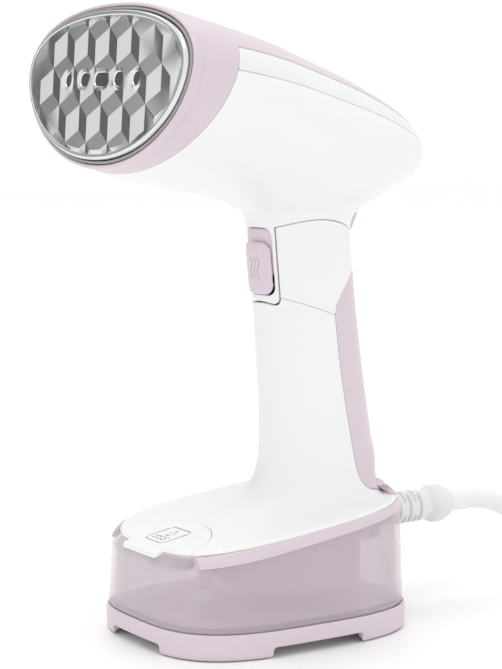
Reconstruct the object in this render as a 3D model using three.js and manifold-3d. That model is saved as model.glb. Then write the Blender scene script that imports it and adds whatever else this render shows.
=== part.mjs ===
// Garment steamer that stands on its own base: fold-down steam head, grip with a steam trigger, and a tank in
// the foot. Millimetres, +Z up, the steam plate faces -Y and the mains cord leaves at the back, towards +Y.
import * as THREE from 'three';
import { mergeVertices } from 'three/addons/utils/BufferGeometryUtils.js';
import Module from 'manifold-3d';

const wasm = await Module();
wasm.setup();

// ---------------------------------------------------------------- driving dimensions
const gap = 0.3;                 // clearance between pieces that touch
const sliverVolume = 0.01;
const headPoints = 28;           // points on one section of the head, the base and the grip
const gripPoints = 20;           // the same on one section of the grip
const seam = 0.3;                // joint line between two covers
const originShift = -3.9;        // moves the middle of the object over the origin, along Y

// Base: superellipse plan, wider and rounder at the back
const baseHalfWidth = 43.5;
const baseFront = 52.2;
const baseBack = 54;
const baseRoundness = 3.2;
const footHeight = 9.5;          // top of the foot ring
const footCut = 3.8;             // height of the cut-outs in the foot ring
const footCutFront = 33.6;       // width of the front and back cut-outs
const footCutSide = 39.2;        // length of the side cut-outs
const footWall = 3;
const tankInset = 0.8;           // the tank stands a little inside the foot ring
const tankWall = 1.8;
const filterBottom = footHeight + gap + tankWall + 1;
const filterTop = filterBottom + 4.6;
const rimHeight = 43.2;          // edge of the white cover above the floor, at y = 0
const rimSlope = 0.125;          // the edge rises towards the back
const rimInset = 3;              // cover edge to foot outline
const rimNoseInset = 5.5;        // the same at the nose
const rimDip = 1.4;              // the edge bends down towards the nose
const rimDipStart = -20;
const bandDrop = 4.2;            // height of the opaque band under the cover edge, at y = 0
const bandSlope = 0.145;
const bandStart = -43.5;          // front end of the opaque band

// Filler cap in the nose of the cover
const capY = -50;                // the cap is a disc about this point, cut off by the nose
const capRadius = 26.5;
const capThickness = 2;
const capTabHalfWidth = 12;
const capTabRoot = 4;            // stretch of the tab under the nose
const capTabReach = 3.5;         // tab beyond the nose of the cover
const fillerY = -36;
const fillerRadius = 8.5;

// Handle and neck: sections [height, middle y, half width, half depth]
const gripHalfWidth = 17.5;
const gripSections = [
  [62, 28.2, gripHalfWidth + 0.7, 23.4], [70, 27.5, gripHalfWidth + 0.1, 22.2],
      [85, 26.1, gripHalfWidth, 21],
  [99, 24.5, gripHalfWidth, 20.2], [114, 23, gripHalfWidth, 19.6], [125, 21.8, gripHalfWidth, 19.3],
  [145, 20, gripHalfWidth, 19.2], [150, 19.7, gripHalfWidth + 0.2, 19.5],
      [155, 19.9, gripHalfWidth + 1.1, 21.3],
  [158.4, 19.6, gripHalfWidth + 3, 25.6], [161, 18.8, gripHalfWidth + 5, 30],
      [166, 18, gripHalfWidth + 7, 35],
];
const gripRoundness = 2.2;
const shellWall = 2;
const collarArchTop = 152.8;     // crest of the folding joint's arch
const collarArchY = 17;
const collarArchRadius = 36;
const collarCornerY = 24;        // lowest point of the collar, at the corner of the rear cover
const collarCornerZ = 117.5;
const collarFrontZ = 125;
const collarBackZ = 129;

// Folding joint
const tongueSide = 1.8;           // wall of the tongue beside the trigger
const foldZ = 129.4;             // pin of the folding head
const foldSetback = shellWall + 3.2;         // pin behind the front skin
const chinReach = 7;             // lower end of the tongue, below the pin
const chinRadius = Math.hypot(foldSetback, chinReach);
const bracketReach = chinRadius + 0.7;   // bridge of the bracket behind the pin, clear of the turning chin
const knuckleHalfLength = 3.6;
const knuckleRadius = 2.6;
const lugThickness = 2.2;
const lugRadius = 2.1;
const pinRadius = 1.1;
const pinClearance = 0.35;

// Trigger and its lock
const triggerHalfWidth = 7.6;
const tongueHalfWidth = triggerHalfWidth + tongueSide;
const triggerBottom = 131.6;
const triggerTop = 149.4;
const triggerSunk = 0.7;          // face of the trigger below the skin
const triggerThickness = 1.7;
const lockBottom = 125;
const lockTop = 144.4;
const lockProud = 1.6;
const pressDepth = 1;            // travel of the trigger's lower end

// Steam head
const plateHalfWidth = 55.1;
const plateHalfHeight = 26.2;
const plateEgg = 0.175;          // the plate is wider at its top
const plateRoundness = 2.15;
const plateY = -62.2;
const plateZ = 201;
const plateTilt = 8.4;           // degrees back from upright
const plateProud = 2;
const plateThickness = 3;
const steamSlots = [[-24.4, 4.2], [-12.2, 6], [0, 9.4], [12.2, 6], [24.4, 4.2]];   // [place, width]
const slotHeight = 4.5;
const slotRise = 2;              // row of slots above the middle of the plate
const gasketWidth = 1.2;
const lipReach = 2.7;            // cowl lip beyond the plate
const lipDepth = 5;              // thickness of the lip behind the plate's edge
const headWall = 2;
// Sections of the head: [top y, top z, bottom y, bottom z, half width as a share of the plate's]
const headSections = [
  [-40, 225.9, -52, 167.6, 1.0417], [-23, 222.1, -38, 165, 0.98], [-7, 218.3, -23, 162.4, 0.8711],
  [7, 214.2, -8, 160, 0.7477], [23, 209.2, 8, 158, 0.6225], [37.5, 203.9, 25, 157, 0.5118],
  [50.5, 198.3, 42, 158, 0.4065], [61.5, 192.7, 56, 162, 0.3013], [68.4, 187.8, 65.5, 166, 0.2123],
  [73.8, 181.6, 72.8, 169.6, 0.1089],
].map(([topY, topZ, bottomY, bottomZ, share]) => [topY, topZ, bottomY, bottomZ, share * plateHalfWidth]);
const tailTip = [75.8, 175.8];
const cowlFootY = -58;           // cowl edge under the plate
const cowlLean = 22.5;            // degrees that the cowl edge leans back
// Side trim, upper and lower edge seen from the side: [y, z]
const trimUpper = [[-60, 215], [-34, 212.6], [0, 207.4], [30, 200.8], [50, 194.2], [65, 187.6], [90, 176]];
const trimLower = [[-60, 207.4], [-34, 204.4], [0, 199.4], [30, 193.4], [50, 188.2], [65, 183.2],
    [90, 174]];

const heaterInset = 6;
const heaterDepth = 12;
const hoseRadius = 2.5;

// Fold latch on the back of the neck
const latchZ = 151.8;
const latchHalfWidth = 6.5;
const latchHeight = 8;
const latchThickness = 1.7;
const latchSunk = 0.9;           // inner face of the latch below the skin, in its pocket
const latchRib = 0.4;
const latchRibs = 4;
const latchStem = 2.5;           // half width of the stem
const latchStemHeight = 1.5;     // half height of the stem
const latchTravel = 2;
const latchBacking = 1.4;        // wall behind the latch's pocket
const hookReach = 6.6;           // hook behind the skin
const hookThickness = 2.2;
const hookDrop = 5;

// Pump chassis and pump
const wellY = 13;
const wellHalfWidth = 27;
const wellHalfLength = 25;
const chassisBottom = 18;
const chassisTop = 40.5;
const snoutHalfWidth = 8.6;
const snoutBottom = 29;
const snoutEnd = 52.6;
const pumpY = -8;
const pumpZ = 31;
const pumpLength = 40;
const pumpBore = 3.6;
const pumpCoilRadius = 9;
const pumpStroke = 3;

// Cord: the lead runs straight out, down to the floor, round the coil and to the plug
const cordDiameter = 8.2;
const cordExitZ = 37.3;
const cordStart = 92.3;
const coilRadii = [37, 45.3, 53.6];
const leadBend = 45;             // the lead bends this gently towards the coil
const leadBendY = 122;
const joinAngle = Math.acos(leadBend / (leadBend + coilRadii.at(-1)));
const coilCentre = [0, leadBendY + (leadBend + coilRadii.at(-1)) * Math.sin(joinAngle)];
const plugRadius = 18.5;
// The lead in front of the coil: [run, height], bent sideways after leadBendY
const leadPoints = [[cordStart, cordExitZ], [100, cordExitZ], [108, 36.9], [118, 34.2], [128, 28.6],
    [138, 21.4], [149, 13.8]]
  .map(([run, height]) => {
    const turn = Math.max(run - leadBendY, 0) / leadBend;
    return [-leadBend * (1 - Math.cos(turn)), Math.min(run, leadBendY) + leadBend * Math.sin(turn), height];
  });
const tailPoints = [[59.3, 182, 13.5], [61, 174, 15], [61.8, 167, 16.9], [62, 162, 18.1],
    [62, 158.6, 18.5]];

// ---------------------------------------------------------------- colours
const paint = (color, roughness, metalness = 0, opacity = 1) =>
  new THREE.MeshStandardMaterial({ color, roughness, metalness, opacity, transparent: opacity < 1 });
const white = paint(0xf4f4f3, 0.38);
const blush = paint(0xeadde6, 0.4);
const blushTank = paint(0xdcc9d6, 0.15, 0, 0.5);
const trimGrey = paint(0xdfe0e1, 0.35);
const mirrorSteel = paint(0xcfd2d4, 0.22, 0.9);
const castMetal = paint(0xa9abad, 0.5, 0.9);
const steel = paint(0xb9bcbf, 0.3, 1);
const rubber = paint(0x3a3a3c, 0.8);
const softWhite = paint(0xeeeeed, 0.6);
const darkPlastic = paint(0x4a4648, 0.6);
const mutedPink = paint(0xc9b5c2, 0.45);
const copper = paint(0xb87333, 0.35, 0.9);
const silicone = paint(0xe6e0dc, 0.5);

// ---------------------------------------------------------------- shape helpers
const v3 = (x, y, z) => new THREE.Vector3(x, y, z);
const rad = THREE.MathUtils.degToRad;
const power = (value, exponent) => Math.sign(value) * Math.abs(value) ** exponent;

// Closed solid through a list of rings, each a list of points with one count, with a flat fan at both ends.
function loft(rings) {
  const count = rings[0].length;
  const positions = rings.flat().flatMap((p) => [p.x, p.y, p.z]);
  const index = [];
  const middle = (ring) => ring.reduce((sum, p) => sum.add(p), v3(0, 0, 0)).divideScalar(ring.length);
  for (const ring of [rings[0], rings.at(-1)]) positions.push(...middle(ring).toArray());
  const first = rings.length * count;
  for (let i = 0; i < count; i += 1) {
    const j = (i + 1) % count;
    for (let k = 0; k < rings.length - 1; k += 1) {
      const a = k * count;
      const b = a + count;
      index.push(a + i, a + j, b + j, a + i, b + j, b + i);
    }
    const last = (rings.length - 1) * count;
    index.push(first, j, i, first + 1, last + i, last + j);
  }
  const geometry = new THREE.BufferGeometry();
  geometry.setAttribute('position', new THREE.Float32BufferAttribute(positions, 3));
  geometry.setIndex(index);
  return geometry;
}

function solid(geometry) {
  const bare = geometry.clone();
  bare.deleteAttribute('normal');
  bare.deleteAttribute('uv');
  const merged = mergeVertices(bare, 1e-4);
  const make = (tris) => new wasm.Manifold(
    new wasm.Mesh({ numProp: 3, vertProperties: new Float32Array(merged.attributes.position.array),
        triVerts: tris }));
  const tris = new Uint32Array(merged.index.array);
  const body = make(tris);
  return body.volume() > 0 ? body : make(tris.map((_, i) => tris[i - (i % 3) + 2 - (i % 3)]));
}

function geometryOf(body) {
  const mesh = body.getMesh();
  const geometry = new THREE.BufferGeometry();
  geometry.setAttribute('position', new THREE.Float32BufferAttribute(mesh.vertProperties, 3));
  geometry.setIndex(new THREE.Uint32BufferAttribute(mesh.triVerts, 1));
  return geometry;
}

const block = (x0, x1, y0, y1, z0, z1) =>
  new THREE.BoxGeometry(x1 - x0, y1 - y0, z1 - z0).translate((x0 + x1) / 2, (y0 + y1) / 2, (z0 + z1) / 2);
const drumX = (radius, halfLength, y, z, sides = 24) =>
  new THREE.CylinderGeometry(radius, radius, 2 * halfLength, sides).rotateZ(Math.PI / 2).translate(0, y, z);
const drumZ = (radius, z0, z1, x, y, sides = 24) =>
  new THREE.CylinderGeometry(radius, radius, z1 - z0, sides).rotateX(Math.PI / 2).translate(x, y,
      (z0 + z1) / 2);
const drumY = (radius, y0, y1, x, z, sides = 24) =>
  new THREE.CylinderGeometry(radius, radius, y1 - y0, sides).translate(x, (y0 + y1) / 2, z);

// A flat outline drawn in the side view (y, z), as thick as the stretch of X from x0 to x1.
function sidePrism(outline, x0, x1) {
  const shape = new THREE.Shape(outline.map(([y, z]) => new THREE.Vector2(y, z)));
  const prism = new THREE.ExtrudeGeometry(shape, { depth: x1 - x0, bevelEnabled: false });
  return prism.applyMatrix4(new THREE.Matrix4().makeBasis(v3(0, 1, 0), v3(0, 0, 1),
      v3(1, 0, 0))).translate(x0, 0, 0);
}

function prismZ(points, z0, z1) {
  const shape = new THREE.Shape(points.map(([x, y]) => new THREE.Vector2(x, y)));
  return new THREE.ExtrudeGeometry(shape, { depth: z1 - z0, bevelEnabled: false }).translate(0, 0, z0);
}

function tubeAlong(points, radius, sides, steps) {
  const section = new THREE.Shape();
  section.absarc(0, 0, radius, 0, 2 * Math.PI);
  const path = new THREE.CatmullRomCurve3(points.map(([x, y, z]) => v3(x, y, z)));
  return new THREE.ExtrudeGeometry(section, { steps, curveSegments: sides, bevelEnabled: false,
      extrudePath: path });
}

// Smooth values between a table's rows, by Catmull-Rom; t runs from 0 to 1 along the rows.
function between(rows, t) {
  const place = t * (rows.length - 1);
  const i = Math.min(Math.floor(place), rows.length - 2);
  const f = place - i;
  const row = (k) => rows[Math.max(0, Math.min(rows.length - 1, k))];
  return rows[0].map((_, c) => {
    const [p, q, r, s] = [row(i - 1)[c], row(i)[c], row(i + 1)[c], row(i + 2)[c]];
    return 0.5 * (2 * q + (r - p) * f + (2 * p - 5 * q + 4 * r - s) * f * f + (3 * q - p - 3 * r + s) *
        f ** 3);
  });
}

function ovalAngles(count) {
  return Array.from({ length: count }, (_, i) => (2 * Math.PI * i) / count);
}

// ---------------------------------------------------------------- grip and neck
function gripRow(z) {
  const top = gripSections.length - 1;
  let i = 0;
  while (i < top - 1 && gripSections[i + 1][0] < z) i += 1;
  const f = (z - gripSections[i][0]) / (gripSections[i + 1][0] - gripSections[i][0]);
  return between(gripSections, (i + f) / top);
}

function gripRing(z, grow, count = gripPoints) {
  const [, y, a, b] = gripRow(z);
  return ovalAngles(count).map((t) => v3(
    (a + grow) * power(Math.cos(t), 2 / gripRoundness), y + (b + grow) *
        power(Math.sin(t), 2 / gripRoundness), z));
}

const gripFrontY = (z) => gripRow(z)[1] - gripRow(z)[3];
const gripBackY = (z) => gripRow(z)[1] + gripRow(z)[3];

function gripLoft(z0, z1, grow, count = gripPoints) {
  const inside = gripSections.map((row) => row[0]).filter((z) => z > z0 + 1 && z < z1 - 1);
  return solid(loft([z0, ...inside, z1].map((z) => gripRing(z, grow, count))));
}

// ---------------------------------------------------------------- base outline and rim
function baseRing(inset, height, noseInset = inset, count = headPoints) {
  return ovalAngles(count).map((t) => {
    const x = (baseHalfWidth - inset) * power(Math.cos(t), 2 / baseRoundness);
    const s = power(Math.sin(t), 2 / baseRoundness);
    const y = s * (s < 0 ? baseFront - noseInset : baseBack - inset);
    return v3(x, y, typeof height === 'function' ? height(y) : height);
  });
}

const rimAt = (y) => rimHeight + rimSlope * y - rimDip * (Math.min(0, y - rimDipStart) / 27) ** 2;
const bandAt = (y) => rimHeight - bandDrop + bandSlope * y;
const foldY = gripFrontY(foldZ) + foldSetback;

// Outer surface of the white cover as it rises from its edge into the grip. grow moves it outwards, and
// drop lowers its edge, so that the same function makes the inner surface.
function coverRings(grow, drop) {
  const foot = baseRing(rimInset - grow, rimAt, rimNoseInset - grow);
  const foldOver = gripRing(gripSections[0][0], grow, foot.length);
  // [share of the way in to the grip, rise above the edge]
  const profile = [[0, 0], [0.02, 0.7], [0.08, 1.2], [0.35, 1.8], [0.6, 2.8], [0.78, 4.6], [0.9, 7.8],
      [0.97, 12.4], [1, 18.8]];
  return profile.map(([share, rise]) => foot.map((p, i) => {
    const q = foldOver[i];
    const spot = p.clone().lerp(q, share);
    spot.z = THREE.MathUtils.lerp(p.z, rimHeight, share) + rise +
        (share > 0 || drop === 0 ? Math.min(grow, 0) : -drop);
    return spot;
  }));
}

function gripAndCover(grow, drop, top) {
  const rings = coverRings(grow, drop);
  const count = rings[0].length;
  const heights = gripSections.map((row) => row[0]).filter((z) => z > gripSections[0][0] && z < top - 1);
  rings.push(...[...heights, top].map((z) => gripRing(z, grow, count)));
  if (drop > 0) rings.unshift(rings[0].map((p) => v3(p.x, p.y, p.z - drop)));
  return solid(loft(rings));
}

// Side-view line between the grip's white front and its rear cover: [y, z] from the collar to the cover edge
const rearEdge = [[collarCornerY, collarCornerZ], [26.6, 100], [29.2, 85], [32.2, 70], [34, 60], [36.4, 54],
  [40, 51], [45, 49.6], [47, 47.6]];
const collarEdge = [[-30, collarFrontZ + 1.2], [gripFrontY(collarFrontZ), collarFrontZ],
    [collarCornerY, collarCornerZ],
  [33, 122.6], [gripBackY(collarBackZ), collarBackZ + 0.2], [60, 134]];

function archLine(lift) {
  const spread = 34;
  return Array.from({ length: 17 }, (_, i) => {
    const y = collarArchY - spread + (2 * spread * i) / 16;
    return [y, collarArchTop + lift - (y - collarArchY) ** 2 / (2 * collarArchRadius)];
  });
}

// ---------------------------------------------------------------- head
const plateFrame = new THREE.Matrix4().makeRotationX(rad(90 - plateTilt)).setPosition(0, plateY, plateZ);

function eggPoints(grow, count = headPoints) {
  const a = plateHalfWidth + grow;
  const b = plateHalfHeight + grow;
  return ovalAngles(count).map((t) => {
    const v = b * power(Math.sin(t), 2 / plateRoundness);
    const u = a * power(Math.cos(t), 2 / plateRoundness) * (1 + (plateEgg * v) / b);
    return [u, v];
  });
}

const eggRing = (grow, depth) => eggPoints(grow).map(([u, v]) => v3(u, v, depth).applyMatrix4(plateFrame));
const eggPrism = (grow, w0, w1) => solid(prismZ(eggPoints(grow), w0, w1).applyMatrix4(plateFrame));

function headRing([topY, topZ, bottomY, bottomZ, a], grow, egg, count = headPoints) {
  const top = v3(0, topY, topZ);
  const bottom = v3(0, bottomY, bottomZ);
  const up = top.clone().sub(bottom).multiplyScalar(0.5);
  const b = up.length() + grow;
  up.normalize();
  const middle = top.add(bottom).multiplyScalar(0.5);
  return ovalAngles(count).map((t) => {
    const s = power(Math.sin(t), 2 / plateRoundness);
    const x = (a + grow) * power(Math.cos(t), 2 / plateRoundness) * (1 + egg * s);
    return middle.clone().addScaledVector(up, b * s).add(v3(x, 0, 0));
  });
}

function headLoft(grow, frontDepth) {
  const rings = [];
  if (grow === 0) rings.push(eggRing(lipReach - 1.1, -0.4), eggRing(lipReach - 0.4, -1.8));
  rings.push(eggRing(lipReach + grow, grow === 0 ? -4.6 : frontDepth));
  headSections.forEach((row, i) => rings.push(headRing(row, grow, plateEgg * Math.max(0, 1 - i / 4))));
  const [tipY, tipZ] = tailTip;
  const end = grow === 0 ? [tipY, tipZ + 1.5, tipY - 0.3, tipZ - 1.5, 1.6] : null;
  if (end) rings.push(headRing(end, 0, 0));
  return solid(loft(rings));
}

const halfSpaceX = (side) =>
  solid(side > 0 ? block(seam / 2, 90, -200, 200, -50, 400) : block(-90, -seam / 2, -200, 200, -50, 400));

function cowlRegion(shift) {
  const lean = Math.tan(rad(cowlLean));
  const at = (z) => cowlFootY + shift + (z - 172) * lean;
  return solid(sidePrism([[-200, 100], [at(100), 100], [at(260), 260], [-200, 260]], -90, 90));
}

const above = (line, lift) =>
  solid(sidePrism([...line.map(([y, z]) => [y, z + lift]), [line.at(-1)[0], 300], [line[0][0], 300]], -90,
      90));

// ---------------------------------------------------------------- parts list
const group = new THREE.Group();
group.position.set(0, originShift, 0);

// Leaves out the slivers, with no volume, that a cut along two nearly equal surfaces can leave behind.
function withoutSlivers(body) {
  const pieces = body.decompose().filter((piece) => piece.volume() > sliverVolume);
  return pieces.length > 1 ? wasm.Manifold.compose(pieces) : pieces[0];
}

function add(name, shape, material) {
  const body = shape instanceof THREE.BufferGeometry ? solid(shape) : shape;
  const mesh = new THREE.Mesh(geometryOf(withoutSlivers(body)), material);
  mesh.name = name;
  group.add(mesh);
}

const join = (...shapes) => shapes.map((s) => (s instanceof THREE.BufferGeometry ? solid(s) : s))
  .reduce((sum, s) => sum.add(s));
const cut = (shape, ...tools) => tools.map((s) => (s instanceof THREE.BufferGeometry ? solid(s) : s))
  .reduce((rest, s) => rest.subtract(s), shape instanceof THREE.BufferGeometry ? solid(shape) : shape);
const common = (a, b) => (a instanceof THREE.BufferGeometry ? solid(a) : a)
  .intersect(b instanceof THREE.BufferGeometry ? solid(b) : b);

// ---------------------------------------------------------------- fold latch
// Frame of the latch: its origin on the back of the neck, y out of the skin, z up along the leaning back
const latchLean = Math.atan2(gripBackY(latchZ + 3) - gripBackY(latchZ - 3), 6);
const latchFrame = new THREE.Matrix4().makeRotationX(-latchLean).setPosition(0, gripBackY(latchZ), latchZ);
const onLatch = (geometry) => geometry.applyMatrix4(latchFrame);
const latchPocket = () => onLatch(block(-latchHalfWidth - gap, latchHalfWidth + gap, -latchSunk - gap, 20,
  -latchHeight / 2 - gap, latchHeight / 2 + latchTravel + gap));
const latchSlot = () => onLatch(block(-latchStem - gap, latchStem + gap, -12, 2,
  -latchStemHeight - gap, latchStemHeight + latchTravel + gap));

// ---------------------------------------------------------------- steam head
function makeHeadCovers() {
  const foldPlace = [foldY, foldZ];
  const neckOuter = gripLoft(110, 166, 0);
  const neckInner = gripLoft(108, 166, -shellWall);
  const arch = above(archLine(seam / 2), 0);
  // Tongue: front wall of the neck that hangs over the folding joint, with a round chin and a knuckle
  const tongueReach = join(drumX(chinRadius, tongueHalfWidth, ...foldPlace, 56),
    block(-tongueHalfWidth, tongueHalfWidth, -40, foldY, foldZ, collarArchTop + 4));
  const tongueWall = common(common(cut(neckOuter, neckInner), tongueReach),
    block(-tongueHalfWidth, tongueHalfWidth, -40, foldY, foldZ - chinRadius, collarArchTop + 4));
  const knuckle = join(drumX(knuckleRadius, knuckleHalfLength, ...foldPlace, 32),
    block(-knuckleHalfLength, knuckleHalfLength, foldY - foldSetback + shellWall - 0.6, foldY - pinRadius,
      foldZ - chinReach + gap, foldZ));
  const window = block(-triggerHalfWidth - gap, triggerHalfWidth + gap, -40, collarArchY,
    triggerBottom - gap, triggerTop + gap);
  const pocket = cut(block(-triggerHalfWidth - gap, triggerHalfWidth + gap, -40, collarArchY,
      lockBottom - gap, triggerTop),
    gripLoft(110, 160, gap - triggerSunk - pressDepth - gap - gap));
  const pinBore = drumX(pinRadius + pinClearance, tongueHalfWidth + 2, ...foldPlace, 32);
  const tongue = cut(join(tongueWall, knuckle), pinBore);
  const outer = headLoft(0);
  const hollow = headLoft(-headWall, -lipDepth);
  const headSkin = cut(outer, hollow, eggPrism(gasketWidth + gap, -lipDepth - 1, 20), neckInner);
  const neck = join(outer, common(neckOuter, arch));
  const skin = cut(neck, hollow, neckInner, eggPrism(gasketWidth + gap, -lipDepth - 1, 20));
  const latchBoss = common(common(neck, arch), onLatch(block(-latchHalfWidth - 2, latchHalfWidth + 2,
    -latchSunk - gap - latchBacking, 20, -latchHeight / 2 - 2, latchHeight / 2 + latchTravel + 2)));
  const whole = cut(join(skin, latchBoss, tongue), window, pocket, latchPocket(), latchSlot());
  add('front_cowl', common(headSkin, join(cowlRegion(-seam / 2), above(trimUpper, seam / 2))), blush);
  const rest = cut(whole, cowlRegion(seam / 2));
  for (const [side, word] of [[-1, 'left'], [1, 'right']]) {
    const half = common(rest, halfSpaceX(side));
    const below = solid(sidePrism([...trimLower.map(([y, z]) => [y, z - seam / 2]), [90, 0], [-60, 0]], -90,
        90));
    add(`head_shell_${word}`, common(half, below), white);
    add(`side_trim_${word}`, common(cut(half, above(trimUpper, -seam / 2)), above(trimLower, seam / 2)),
        trimGrey);
  }
}

function makeSteamPlate() {
  const slots = steamSlots.map(([place, width]) => block(place - width / 2, place + width / 2,
    slotRise - slotHeight / 2, slotRise + slotHeight / 2, -9, 9).applyMatrix4(plateFrame));
  add('steam_plate', cut(eggPrism(0, plateProud - plateThickness, plateProud), ...slots), mirrorSteel);
  add('plate_gasket', cut(eggPrism(gasketWidth, -1, 1), eggPrism(gap, -3, 3)), silicone);
  const back = plateProud - plateThickness - gap;
  add('heater_block', eggPrism(-heaterInset, back - heaterDepth, back), castMetal);
  const coverBack = back - heaterDepth - gap;
  add('chamber_cover', eggPrism(-heaterInset - 2, coverBack - 2.5, coverBack), castMetal);
  add('heater_frame', cut(eggPrism(-1.6, back - 3, back), eggPrism(-heaterInset + gap, back - 5, back + 2)),
      darkPlastic);
  const behind = coverBack - 2.5 - gap;
  const onCover = (geometry, u, v) => geometry.translate(u, v, 0).applyMatrix4(plateFrame);
  add('thermostat', onCover(drumZ(6.5, behind - 5, behind, 0, 0), -20, 0), steel);
  add('thermal_fuse', onCover(drumX(2, 7, 0, behind - 2.2, 16), 22, 0), softWhite);
  const port = v3(0, -6, behind).applyMatrix4(plateFrame);
  add('steam_hose', solid(tubeAlong([[0, port.y + 0.6, port.z], [0, port.y + 14, port.z - 3], [0, 4, 176],
      [0, 20, 164],
    [0, 24, 148], [0, 24, 133]], hoseRadius, 4, 20)), silicone);
}

function makeTrigger() {
  const sheet = (outer, inner, halfWidth, z0, z1) => common(cut(gripLoft(118, 156, outer),
      gripLoft(116, 158, inner)),
    block(-halfWidth, halfWidth, -40, collarArchY, z0, z1));
  add('trigger', sheet(-triggerSunk, -triggerSunk - triggerThickness, triggerHalfWidth, triggerBottom,
      triggerTop), mutedPink);
  add('lock_slider', sheet(lockProud, gap - triggerSunk, triggerHalfWidth, lockBottom, lockTop), mutedPink);
  const switchFront = gripFrontY(140) + 6.4;
  add('trigger_switch', block(-3.2, 3.2, switchFront, switchFront + 6, 133.5, 144), darkPlastic);
  add('switch_bracket', join(block(-7, 7, switchFront + 6 + gap, switchFront + 8, 131.5, 152),
    block(-7, 7, switchFront + 2, switchFront + 7.9, 150, 152)), softWhite);
  const turns = Array.from({ length: 25 }, (_, i) => {
    const t = (i / 24) * 3 * 2 * Math.PI;
    return [5.6 + 1.3 * Math.cos(t), gripFrontY(140) + 4 + (i / 24) * 5, 147 + 1.3 * Math.sin(t)];
  });
  add('trigger_spring', tubeAlong(turns, 0.3, 2, 30), steel);
}

function makeLatch() {
  const face = latchThickness - latchSunk;
  const pad = block(-latchHalfWidth, latchHalfWidth, -latchSunk, face, -latchHeight / 2, latchHeight / 2);
  const pitch = latchHeight / latchRibs;
  const ribs = Array.from({ length: latchRibs }, (_, i) =>
    block(-latchHalfWidth + 1, latchHalfWidth - 1, face - latchRib, face + latchRib,
      -latchHeight / 2 + (i + 0.3) * pitch, -latchHeight / 2 + (i + 0.7) * pitch));
  const stem = block(-latchStem, latchStem, -hookReach + 1, 0, -latchStemHeight, latchStemHeight);
  const hook = block(-latchStem, latchStem, -hookReach, hookThickness - hookReach, -hookDrop,
      latchStemHeight);
  add('fold_latch', onLatch(geometryOf(join(pad, ...ribs, stem, hook))), mutedPink);
  const y = gripBackY(latchZ);
  add('latch_spring', block(-3, 3, y - 9.4, y - 8.6, latchZ - 4, latchZ + 5), steel);
  add('latch_keeper', block(-5, 5, gripBackY(140) - 7, gripBackY(140) - shellWall - 1.2, 136, 141), steel);
}

// ---------------------------------------------------------------- handle
function makeHandle() {
  const outer = gripAndCover(0, 0, 153);
  const inner = gripAndCover(-shellWall, 3, 154);
  const foldPlace = [foldY, foldZ];
  const mouth = join(block(-tongueHalfWidth - seam, tongueHalfWidth + seam, -40, collarArchY, foldZ, 170),
    drumX(chinRadius + seam, tongueHalfWidth + seam, ...foldPlace, 56));
  const belowArch = solid(sidePrism([...archLine(-seam / 2), [80, 0], [-80, 0]], -90, 90));
  const shell = cut(common(cut(outer, inner), belowArch), mouth);
  const overCollarEdge = (lift) => above(collarEdge, lift);
  const rearLine = (shift) => [...rearEdge.map(([y, z]) => [y + shift, z + shift]), [47 + shift, 30],
      [90, 30],
    [90, 140], [collarCornerY + shift, 140]];
  const rear = (shift) => solid(sidePrism(rearLine(shift), -90, 90));
  const lower = cut(shell, overCollarEdge(-seam / 2));
  add('hinge_collar', common(shell, overCollarEdge(seam / 2)), white);
  const capHole = join(drumZ(capRadius + gap, 20, 80, 0, capY, 64),
    block(-capTabHalfWidth - gap, capTabHalfWidth + gap, -70, capY, 20, 80));
  add('handle_shell', cut(lower, rear(-seam / 2), capHole), white);
  add('handle_rear_cover', common(lower, rear(seam / 2)), blush);
  const lugX = knuckleHalfLength + gap;
  const lugs = [-1, 1].flatMap((side) => {
    const [x0, x1] = [side * lugX, side * (lugX + lugThickness - gap)].sort((a, b) => a - b);
    return [drumX(lugRadius, (lugThickness - gap) / 2, ...foldPlace, 24).translate((x0 + x1) / 2, 0, 0),
      block(x0, x1, foldY + 0.2, foldY + bracketReach + 2, foldZ + gap, foldZ + lugRadius)];
  });
  const bridge = block(-lugX - lugThickness + gap, lugX + lugThickness - gap, foldY + bracketReach,
      foldY + bracketReach + 2,
    foldZ - 16, foldZ + lugRadius);
  add('hinge_bracket', cut(join(...lugs, bridge), drumX(pinRadius + 0.02, 20, ...foldPlace, 24)), steel);
  add('hinge_pin', drumX(pinRadius - gap + 0.05, lugX + lugThickness - gap, ...foldPlace, 16), steel);
  add('water_hose', tubeAlong([[0, 32.4, pumpZ], [0, 35, pumpZ + 1.6], [0, 38, pumpZ + 6], [1, 40, 46],
      [5, 38, 60],
    [5, 34, 76], [5, 28, 98], [5, 25, 120]],
    hoseRadius, 4, 18), silicone);
  add('wiring_loom', tubeAlong([[-10, 30, 53], [-8, 31, 62], [-6, 29, 80], [-6, 26, 104], [-6, 24, 122]],
      2.2, 4, 12),
    darkPlastic);
}

// ---------------------------------------------------------------- base
function coverZ(y) {
  const rows = coverRings(0, 0).map((ring) => ring[Math.round(ring.length * 0.75)]);
  const k = Math.max(1, rows.findIndex((p) => p.y >= y));
  const f = (y - rows[k - 1].y) / (rows[k].y - rows[k - 1].y);
  return THREE.MathUtils.lerp(rows[k - 1].z, rows[k].z, f);
}

function wellOutline(grow) {
  return ovalAngles(40).map((t) => [(wellHalfWidth + grow) * power(Math.cos(t), 2 / 3.2),
    wellY + (wellHalfLength + grow) * power(Math.sin(t), 2 / 3.2)]);
}

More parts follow.
